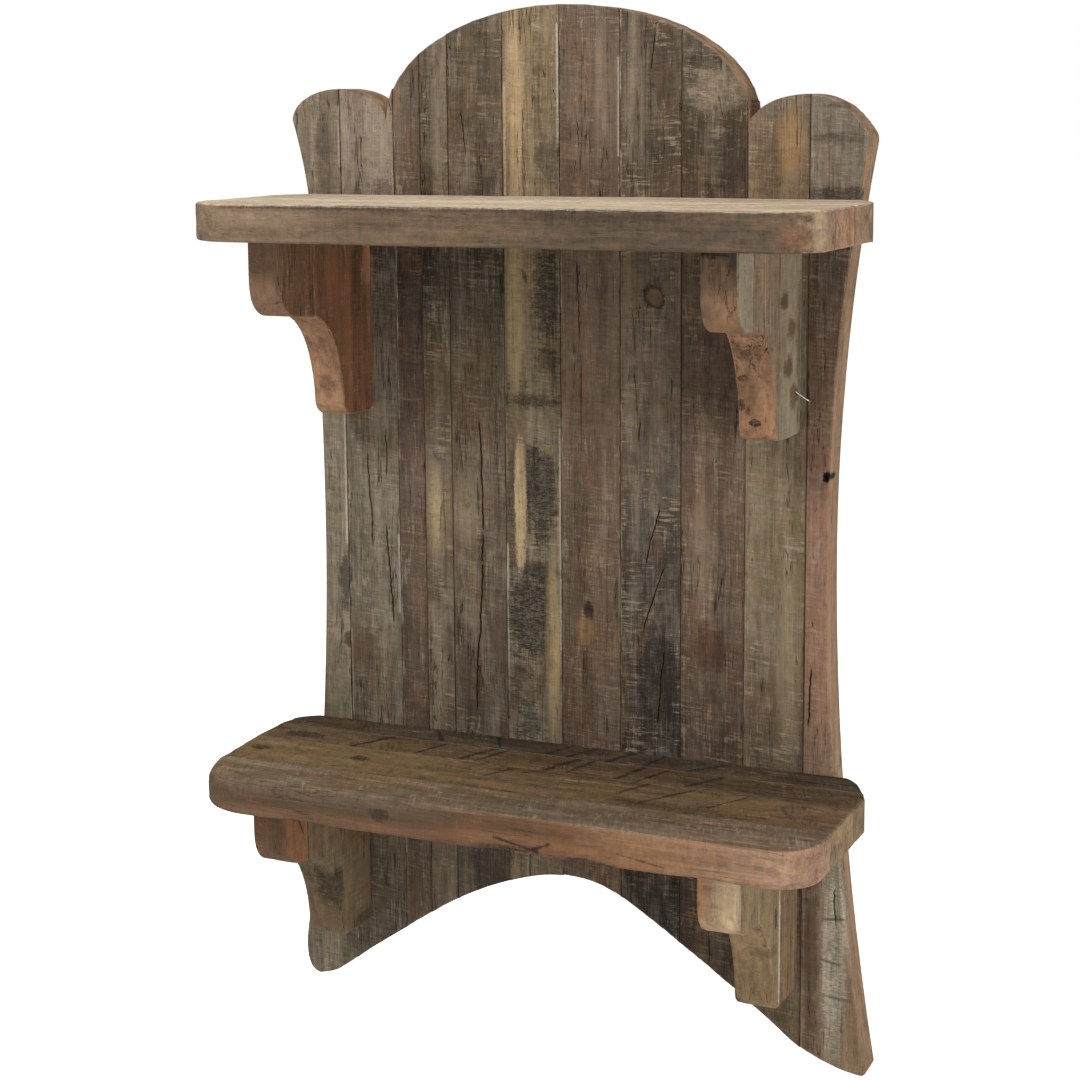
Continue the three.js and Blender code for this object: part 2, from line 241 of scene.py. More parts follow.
def timber_piece(node, name, axis, joints, settings, cell, seed, grain, look, dents=(), front=0.0):
    """A worn copy of a CAD piece: eased edges, an even grid over its faces, and hollows worn into it."""
    splits = [Split(grain, seed + i * 0.37, *what) for i, (kind, *what) in enumerate(look.get("marks", ()))
              if kind == "split"]
    piece = bpy.data.objects.new(name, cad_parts[node].data.copy())
    bpy.context.scene.collection.objects.link(piece)
    edit(piece)
    bpy.ops.mesh.remove_doubles(threshold=MERGE_DISTANCE)
    bpy.ops.mesh.dissolve_limited(angle_limit=FLAT_ANGLE)
    for at_joints, width, segments in ((False, settings.arris, 3), (True, settings.seam, 1)):
        if select_arrises(piece, axis, joints, at_joints):
            bpy.ops.mesh.bevel(offset=width, segments=segments, affect="EDGES", clamp_overlap=True)
    low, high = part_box(node)
    for cut in range(3):
        steps = max(2, round((high[cut] - low[cut]) / cell[cut]))
        for i in range(1, steps):
            at = Vector(low)
            at[cut] += (high[cut] - low[cut]) * i / steps
            normal = Vector((0, 0, 0))
            normal[cut] = 1
            bpy.ops.mesh.select_all(action="SELECT")
            bpy.ops.mesh.bisect(plane_co=at, plane_no=normal)
    bpy.ops.mesh.select_mode(type="FACE")
    refine_along(piece, splits)
    bpy.ops.object.mode_set(mode="OBJECT")
    finer = piece.modifiers.new("Finer grid", "SUBSURF")
    finer.subdivision_type = "SIMPLE"
    finer.levels = finer.render_levels = 1
    bpy.ops.object.modifier_apply(modifier=finer.name)
    if node.startswith("lower_shelf"):
        rub_over(piece, node.endswith("4"), settings.rubbed)
    wear(piece, node, settings.wear, seed, grain, splits, dents, front)
    bpy.ops.object.shade_smooth_by_angle(angle=SMOOTH_ANGLE)
    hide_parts(node)
    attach(piece, "root")
    return piece


def wear(piece, node, depth, seed, grain, splits, dents, front):
    """Moves each point of a piece inwards, by broad hollows along the grain, finer ones on its edges, its
    splits and its dents. Operators can't follow a noise field, so the points are moved in code."""
    size = Vector([HOLLOW_WIDTH] * 3)
    size[grain] = HOLLOW_LENGTH
    shift = Vector((seed * 7.31, seed * 3.17, seed * 5.77))
    low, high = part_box(node)
    mesh = piece.data
    open_split = mesh.attributes.new("open_split", "FLOAT", "POINT")
    flat = [v.normal.copy() for v in mesh.vertices]
    for vertex, normal in zip(mesh.vertices, flat):
        p = vertex.co
        broad = noise.noise(Vector([p[i] / size[i] for i in range(3)]) + shift)
        rough = noise.noise(p / (9 * MM) + shift)
        fine = noise.noise(p / (3.5 * MM) - shift)
        squareness = max(abs(n) for n in normal)
        corner = min(1.0, max(0.0, (0.985 - squareness) / 0.12))
        inwards = depth * (0.5 + 0.5 * broad) * 0.55
        inwards += depth * corner * (0.45 + 0.5 * rough + 0.3 * fine)
        if normal.y < -0.7:
            inwards += front
        for dent in dents:
            inwards += dent(p, normal) * (1 + 0.35 * rough + 0.25 * fine)
        gap = max([split.depth(p, normal) for split in splits], default=0.0)
        open_split.data[vertex.index].value = gap
        inwards = max(0.0, inwards) + SPLIT_DEPTH * gap
        moved = p - normal * inwards
        vertex.co = [min(max(moved[i], low[i]), high[i]) for i in range(3)]


def dent(centre, radius, depth, facing=None):
    """A rounded hollow; centre in mm, with a radius for each axis, and its depth in mm."""
    def sink(p, normal):
        if facing is not None and normal.dot(Vector(facing)) < 0.5:
            return 0.0
        away = sum(((p[i] / MM - centre[i]) / radius[i]) ** 2 for i in range(3))
        return depth * MM * (1 - away) ** 2 if away < 1 else 0.0
    return sink


def pits(spread, depth, facing, seed):
    """Torn grain: scattered pits in the faces that look one way."""
    def sink(p, normal):
        if normal.dot(Vector(facing)) < 0.25:
            return 0.0
        there = noise.noise(p / (spread * MM) + Vector((seed, 2 * seed, 3 * seed)))
        return depth * MM * max(0.0, there - 0.22) * 2.2
    return sink


def rub_over(piece, front_strip, widest):
    """Rubs the lower shelf's top arris round: widest at the left front corner, less elsewhere."""
    top = max(v.co.z for v in piece.data.vertices)
    outline = [v for v in piece.data.vertices
               if abs(v.normal.z) < 0.3 and (v.normal.y < 0.3 if front_strip else abs(v.normal.x) > 0.9)]
    tree = KDTree(len(outline))
    for i, v in enumerate(outline):
        tree.insert((v.co.x, v.co.y, 0), i)
    tree.balance()
    moves = []
    for vertex in piece.data.vertices:
        p = vertex.co
        along = min(1.0, max(0.14, (60 * MM - p.x) / (240 * MM)))
        back = min(1.0, max(0.35, (-60 * MM - p.y) / (130 * MM)))
        radius = widest * along * back
        _, nearest, away = tree.find((p.x, p.y, 0))
        across, up = max(0.0, radius - away), max(0.0, radius - (top - p.z))
        reach = math.hypot(across, up)
        if reach <= radius:
            continue
        out = Vector((*outline[nearest].normal.xy, 0)).normalized()
        moves.append((vertex, (out * across + Vector((0, 0, up))) / reach * (reach - radius)))
    for vertex, move in moves:
        vertex.co -= move


# --- Timber finishes ---


def add(tree, kind, links=None, **settings):
    """Adds a node, sets its settings, and links or sets its inputs."""
    node = tree.nodes.new(kind)
    for key, value in settings.items():
        setattr(node, key, value)
    for socket, value in (links or {}).items():
        target = node.inputs[socket]
        if isinstance(value, bpy.types.NodeSocket):
            tree.links.new(value, target)
        else:
            target.default_value = value
    return node


# Noise fields of a sawn, weathered plank: size across and along the grain in mm, then detail, roughness
# and distortion.
FIELDS = {
    "figure": (6.0, 150.0, 6, 0.62, 1.3),
    "fibre": (1.3, 34.0, 4, 0.70, 0.2),
    "band": (17.0, 380.0, 3, 0.50, 0.6),
    "weather": (26.0, 70.0, 8, 0.68, 0.6),
    "tint": (30.0, 62.0, 6, 0.62, 0.9),
    "grime": (12.0, 44.0, 9, 0.74, 0.8),
    "pale": (7.0, 40.0, 8, 0.70, 0.5),
    "kerf": (24.0, 1.6, 5, 0.66, 0.4),
    "saw": (22.0, 2.7, 3, 0.58, 0.4),
    "sawn": (26.0, 42.0, 7, 0.70, 0.3),
    "split": (9.0, 150.0, 4, 0.55, 0.5),
    "splits": (26.0, 95.0, 3, 0.55, 0.0),
    "pores": (1.1, 12.0, 2, 0.60, 0.0),
    "speck": (2.2, 2.6, 2, 0.50, 0.0),
    "blur": (9.0, 9.0, 6, 0.66, 0.0),
    "crust": (4.5, 1.5, 7, 0.76, 0.6),
}

# The value at which each field starts to show, and the one at which it shows in full.
MASKS = {
    "weather": (0.42, 0.62),
    "tint": (0.50, 0.64),
    "grime": (0.57, 0.66),
    "pale": (0.58, 0.68),
    "saw": (0.50, 0.60),
    "sawn": (0.50, 0.60),
    "splits": (0.53, 0.58),
    "pores": (0.62, 0.70),
    "speck": (0.66, 0.71),
    "crust": (0.38, 0.60),
}
GRITTY = {"weather", "grime", "pale", "sawn", "tint"}  # masks with a ragged, fibrous edge

# How strongly each field lightens and darkens the wood.
STREAKS = {"figure": 1.15, "fibre": 0.7, "band": 1.3, "kerf": 0.42, "blur": 1.1, "saw": 0.3, "crust": 0.35}

# How much of a broken mark shows at its thinnest. A plain stain isn't broken.
LEAST_COVER = {"crust": 0.35, "stroke": 0.75}

DRIED_GLUE = "#b3a894"

# What a timber looks like unless its own look says otherwise: colours, then how much of each shows.
PLAIN = dict(
    grey="#8b8172", grime="#2b231b", pale="#a8977c", line="#a3937b", dark="#140d08", warm="#84603f",
    weather=0.4, tinted=0.2, grimed=0.55, paled=0.4, sawn=0.3, splits=0.85, pores=0.5, specks=0.2,
    slant=3.0, contrast=1.0, edges=((0, "#9a7a5c"), (1, "#9a7a5c")), edge_amount=0.9, seams=(), marks=(),
)


def tone_along(tree, place, stops):
    """A colour that changes from stop to stop, given as (place in metres, hex)."""
    low, high = stops[0][0], stops[-1][0]
    spot = add(tree, "ShaderNodeMapRange", {"Value": place, "From Min": low, "From Max": high})
    ramp = add(tree, "ShaderNodeValToRGB", {"Fac": spot.outputs["Result"]})
    elements = ramp.color_ramp.elements
    for i, (at, code) in enumerate(stops):
        spot = (at - low) / (high - low)
        stop = elements[i] if i < 2 else elements.new(spot)
        stop.position, stop.color = spot, rgba(code)
    return ramp.outputs["Color"]


def laid_over(tree, colour, over, shape, amount=1.0):
    """One colour laid over another where a mask shows, by an amount."""
    factor = add(tree, "ShaderNodeMath", {0: shape, 1: amount}, operation="MULTIPLY").outputs[0]
    mix = add(tree, "ShaderNodeMix", {"Factor": factor}, data_type="RGBA")
    tree.links.new(colour, mix.inputs[6])
    if isinstance(over, str):
        mix.inputs[7].default_value = rgba(over)
    else:
        tree.links.new(over, mix.inputs[7])
    return mix.outputs[2]


def stain_mask(tree, where, ragged, centre, radius, hardness):
    """A blot with a ragged edge; centre and radius in mm, one for each axis."""
    from_centre = add(tree, "ShaderNodeVectorMath", {
        0: where, 1: [c * MM for c in centre],
    }, operation="SUBTRACT")
    scaled = add(tree, "ShaderNodeVectorMath", {
        0: from_centre.outputs["Vector"], 1: [r * MM for r in radius],
    }, operation="DIVIDE")
    reach = add(tree, "ShaderNodeVectorMath", {0: scaled.outputs["Vector"]}, operation="LENGTH")
    reach = add(tree, "ShaderNodeMath", {0: reach.outputs["Value"], 1: ragged}, operation="ADD").outputs[0]
    return add(tree, "ShaderNodeMapRange", {
        "Value": reach, "From Min": 1.08 + (1 - hardness) * 0.3, "From Max": 0.96 - (1 - hardness) * 0.6,
    }, interpolation_type="SMOOTHSTEP").outputs["Result"]


def stroke_mask(tree, where, ragged, start, finish, width):
    """A line with ragged sides between two places, all in mm."""
    start, finish = (Vector(place) * MM for place in (start, finish))
    span = finish - start
    offset = add(tree, "ShaderNodeVectorMath", {0: where, 1: start}, operation="SUBTRACT").outputs["Vector"]
    share = add(tree, "ShaderNodeVectorMath", {
        0: offset, 1: span / span.length_squared,
    }, operation="DOT_PRODUCT")
    share = add(tree, "ShaderNodeClamp", {"Value": share.outputs["Value"]}).outputs[0]
    point = add(tree, "ShaderNodeVectorMath", {0: span, "Scale": share}, operation="SCALE").outputs["Vector"]
    away = add(tree, "ShaderNodeVectorMath", {0: offset, 1: point}, operation="DISTANCE").outputs["Value"]
    away = add(tree, "ShaderNodeMath", {
        0: ragged, 1: 1.2 * width * MM, 2: away,
    }, operation="MULTIPLY_ADD").outputs[0]
    return add(tree, "ShaderNodeMapRange", {
        "Value": away, "From Min": 1.25 * width * MM, "From Max": 0.15 * width * MM,
    }).outputs["Result"]


def reclaimed_timber(name, seed, grain, colours, flat_axes=(ALONG_Y,), **changes):
    """Reclaimed hardwood, sawn, weathered and lightly sanded: dull, streaked along the grain, with saw
    marks across it, grime in the hollows and open splits. colours runs along the grain, low end first,
    as (place in metres, hex); edges does the same for the sawn outline."""
    look = {**PLAIN, **changes}
    draw = Random(seed)
    material = bpy.data.materials.new(name)
    material.use_nodes = True
    tree = material.node_tree
    tree.nodes.clear()
    where = add(tree, "ShaderNodeTexCoord").outputs["Object"]
    facing = add(tree, "ShaderNodeNewGeometry").outputs["Normal"]
    place = add(tree, "ShaderNodeSeparateXYZ", {"Vector": where})

    field = {}
    for key, (across, along, detail, roughness, distortion) in FIELDS.items():
        size = [across * MM] * 3
        size[grain] = along * MM
        turn = [0.0, 0.0, 0.0]
        if key in {"saw", "kerf"}:
            turn[ALONG_Y if grain == ALONG_Z else ALONG_Z] = math.radians(look["slant"])
        mapping = add(tree, "ShaderNodeMapping", {
            "Vector": where, "Location": [draw.uniform(-4, 4) for _ in range(3)],
            "Rotation": turn, "Scale": size,
        }, vector_type="TEXTURE")
        field[key] = add(tree, "ShaderNodeTexNoise", {
            "Vector": mapping.outputs["Vector"], "Scale": 1.0, "Detail": detail, "Roughness": roughness,
            "Distortion": distortion,
        }).outputs["Fac"]
    grit = add(tree, "ShaderNodeMath", {0: field["kerf"], 1: field["fibre"]}, operation="ADD").outputs[0]
    grit = add(tree, "ShaderNodeMath", {0: grit, 1: 0.30, 2: -0.30}, operation="MULTIPLY_ADD").outputs[0]
    mask = {}
    for key, (start, full) in MASKS.items():
        source = field[key]
        if key in GRITTY:
            source = add(tree, "ShaderNodeMath", {0: source, 1: grit}, operation="ADD").outputs[0]
        mask[key] = add(tree, "ShaderNodeMapRange", {
            "Value": source, "From Min": start, "From Max": full,
        }, interpolation_type="SMOOTHSTEP").outputs["Result"]

    # Splits follow the middle contour of a field stretched along the grain.
    level = add(tree, "ShaderNodeMath", {0: field["split"], 1: 0.5}, operation="SUBTRACT").outputs[0]
    beside = add(tree, "ShaderNodeMath", {0: level}, operation="ABSOLUTE").outputs[0]
    line = add(tree, "ShaderNodeMapRange", {
        "Value": beside, "From Min": 0.0, "From Max": 0.010, "To Min": 1.0, "To Max": 0.0,
    }).outputs["Result"]
    split = add(tree, "ShaderNodeMath", {0: line, 1: mask["splits"]}, operation="MULTIPLY").outputs[0]
    split = add(tree, "ShaderNodeMath", {0: split, 1: look["splits"]}, operation="MULTIPLY").outputs[0]
    saw_marks = add(tree, "ShaderNodeMath", {
        0: mask["saw"], 1: mask["sawn"],
    }, operation="MULTIPLY").outputs[0]

    # The colour that drifts along its length, on its faces and on its sawn edges; some stops are painted
    # shade beside a shelf.
    drift = add(tree, "ShaderNodeMath", {0: field["weather"], 1: 0.14, 2: -0.07}, operation="MULTIPLY_ADD")
    along = add(tree, "ShaderNodeMath", {
        0: place.outputs[grain], 1: drift.outputs[0],
    }, operation="ADD").outputs[0]
    total = 1 - 0.5 * sum(STREAKS.values()) * look["contrast"]
    gain = None
    for key, weight in STREAKS.items():
        gain = add(tree, "ShaderNodeMath", {
            0: field[key], 1: weight * look["contrast"], 2: total if gain is None else gain,
        }, operation="MULTIPLY_ADD").outputs[0]
    gain = add(tree, "ShaderNodeClamp", {"Value": gain, "Min": 0.3, "Max": 1.9}).outputs[0]
    colour = tone_along(tree, along, colours)

    layers = (
        ("tint", look["tinted"], look["warm"]),
        ("weather", look["weather"], look["grey"]),
    )
    for key, amount, code in layers:
        colour = laid_over(tree, colour, code, mask[key], amount)
    streaked = add(tree, "ShaderNodeVectorMath", {0: colour, "Scale": gain}, operation="SCALE")
    colour = streaked.outputs["Vector"]
    layers = (
        (mask["pale"], look["paled"], look["pale"]),
        (mask["grime"], look["grimed"], look["grime"]),
        (mask["pores"], look["pores"], look["dark"]),
        (saw_marks, look["sawn"], look["line"]),
        (mask["speck"], look["specks"], look["pale"]),
    )
    for shape, amount, code in layers:
        colour = laid_over(tree, colour, code, shape, amount)

    # Sawn edges and rubbed arrises show cleaner wood; on the upper right bracket's nose the edge stops darken
    # to painted shade under the shelf.
    face = add(tree, "ShaderNodeSeparateXYZ", {"Vector": facing})
    flatness = 0.0
    for axis in flat_axes:
        square = face.outputs[axis]
        if grain != ALONG_X:
            square = add(tree, "ShaderNodeMath", {0: square}, operation="ABSOLUTE").outputs[0]
        flatness = add(tree, "ShaderNodeMath", {0: flatness, 1: square}, operation="MAXIMUM").outputs[0]
    edge = add(tree, "ShaderNodeMapRange", {
        "Value": flatness, "From Min": 0.90, "From Max": 0.45, "To Min": 0.0, "To Max": look["edge_amount"],
    }).outputs["Result"]
    edge_colour = tone_along(tree, along, look["edges"])
    edge_colour = laid_over(tree, edge_colour, look["warm"], mask["tint"], look["tinted"])
    edge_colour = add(tree, "ShaderNodeVectorMath", {0: edge_colour, "Scale": gain}, operation="SCALE")
    edge_colour = laid_over(tree, edge_colour.outputs["Vector"], look["grime"], mask["grime"], 0.35)
    colour = laid_over(tree, colour, edge_colour, edge)

    # Marks of this piece alone: stains, painted shade atop two bracket noses, and the open splits in its
    # mesh.
    ragged = add(tree, "ShaderNodeMath", {
        0: field["blur"], 1: 1.3, 2: -0.65,
    }, operation="MULTIPLY_ADD").outputs[0]
    ragged = add(tree, "ShaderNodeMath", {0: grit, 1: 3.4, 2: ragged}, operation="MULTIPLY_ADD").outputs[0]
    gap = add(tree, "ShaderNodeAttribute", attribute_name="open_split").outputs["Fac"]
    gap = add(tree, "ShaderNodeMath", {0: field["crust"], 1: 0.7, 2: gap}, operation="MULTIPLY_ADD")
    gap = add(tree, "ShaderNodeMapRange", {
        "Value": gap.outputs[0], "From Min": 0.72, "From Max": 1.15, "To Max": 0.9,
    }).outputs["Result"]
    split = add(tree, "ShaderNodeMath", {0: split, 1: gap}, operation="MAXIMUM").outputs[0]
    for kind, *what in look["marks"]:
        if kind == "split":
            continue
        if kind == "stroke":
            start, finish, width, code, amount = what
            shape = stroke_mask(tree, where, ragged, start, finish, width)
        else:
            centre, radius, code, amount, hardness = what
            shape = stain_mask(tree, where, ragged, centre, radius, hardness)
        if kind in LEAST_COVER:
            broken = add(tree, "ShaderNodeMapRange", {"Value": mask["crust"], "To Min": LEAST_COVER[kind]})
            shape = add(tree, "ShaderNodeMath", {
                0: shape, 1: broken.outputs["Result"],
            }, operation="MULTIPLY").outputs[0]
        tinged = add(tree, "ShaderNodeVectorMath", {0: linear(code), "Scale": gain}, operation="SCALE")
        colour = laid_over(tree, colour, tinged.outputs["Vector"], shape, amount)
    colour = laid_over(tree, colour, look["dark"], split)

    # Glue joints: a dark line of uneven width, with beads of dried glue.
    for axis, at, glue in look["seams"]:
        off = add(tree, "ShaderNodeMath", {0: place.outputs[axis], 1: at}, operation="SUBTRACT").outputs[0]
        off = add(tree, "ShaderNodeMath", {0: off}, operation="ABSOLUTE").outputs[0]
        off = add(tree, "ShaderNodeMath", {
            0: field["blur"], 1: -2.4 * MM, 2: off,
        }, operation="MULTIPLY_ADD").outputs[0]
        shape = add(tree, "ShaderNodeMapRange", {
            "Value": off, "From Min": -1.3 * MM, "From Max": -0.3 * MM, "To Min": 0.5, "To Max": 0.0,
        }).outputs["Result"]
        broken = add(tree, "ShaderNodeMapRange", {
            "Value": field["figure"], "From Min": 0.42, "From Max": 0.56, "To Min": 0.1,
        }).outputs["Result"]
        colour = laid_over(tree, colour, look["grime"], shape, broken)
        shape = add(tree, "ShaderNodeMapRange", {
            "Value": off, "From Min": -0.7 * MM, "From Max": 0.1 * MM, "To Min": glue, "To Max": 0.0,
        }).outputs["Result"]
        broken = add(tree, "ShaderNodeMapRange", {
            "Value": field["grime"], "From Min": 0.50, "From Max": 0.62,
        }).outputs["Result"]
        colour = laid_over(tree, colour, DRIED_GLUE, shape, broken)

    # Height in millimetres: proud late wood, saw kerfs, open pores and splits.
    height = 0.0
    relief = (
        (field["figure"], 0.7), (field["fibre"], 0.5), (field["kerf"], 0.35), (saw_marks, 0.2),
        (mask["pores"], -0.15), (split, -1.3), (field["grime"], 0.6), (field["blur"], 0.5),
    )
    for source, depth in relief:
        height = add(tree, "ShaderNodeMath", {
            0: source, 1: depth, 2: height,
        }, operation="MULTIPLY_ADD").outputs[0]
    bump = add(tree, "ShaderNodeBump", {"Strength": 1.0, "Distance": MM, "Height": height})
    rough = add(tree, "ShaderNodeMapRange", {
        "Value": field["weather"], "From Min": 0.3, "From Max": 0.7, "To Min": 0.66, "To Max": 0.92,
    }).outputs["Result"]
    shader = add(tree, "ShaderNodeBsdfPrincipled", {
        "Base Color": colour, "Roughness": rough, "IOR": 1.5, "Specular IOR Level": 0.3,
        "Normal": bump.outputs["Normal"],
    })
    add(tree, "ShaderNodeOutputMaterial", {"Surface": shader.outputs["BSDF"]})
    return material


# --- Looks of the board's laths, left to right ---

X = ALONG_X
BOARD_FRONT = -31  # mm, as are the next two
LOWER_TOP = -505
BLOT_REACH = 20  # a mark on the board's front reaches this far into it


def blot(x, z, across, along, code, amount=0.8, hardness=0.6):
    """A stain on the board's front; places and radii in mm."""
    return ("stain", (x, BOARD_FRONT, z), (across, BLOT_REACH, along), code, amount, hardness)


def crust(x, z, across, along, code, amount, hardness):
    """Old paint or dirt on the board's front, broken up by the grain; places and radii in mm."""
    return ("crust", (x, BOARD_FRONT, z), (across, BLOT_REACH, along), code, amount, hardness)


def stroke(start, finish, width, code, amount):
    """A dark or pale line across a face; places and width in mm."""
    return ("stroke", start, finish, width, code, amount)


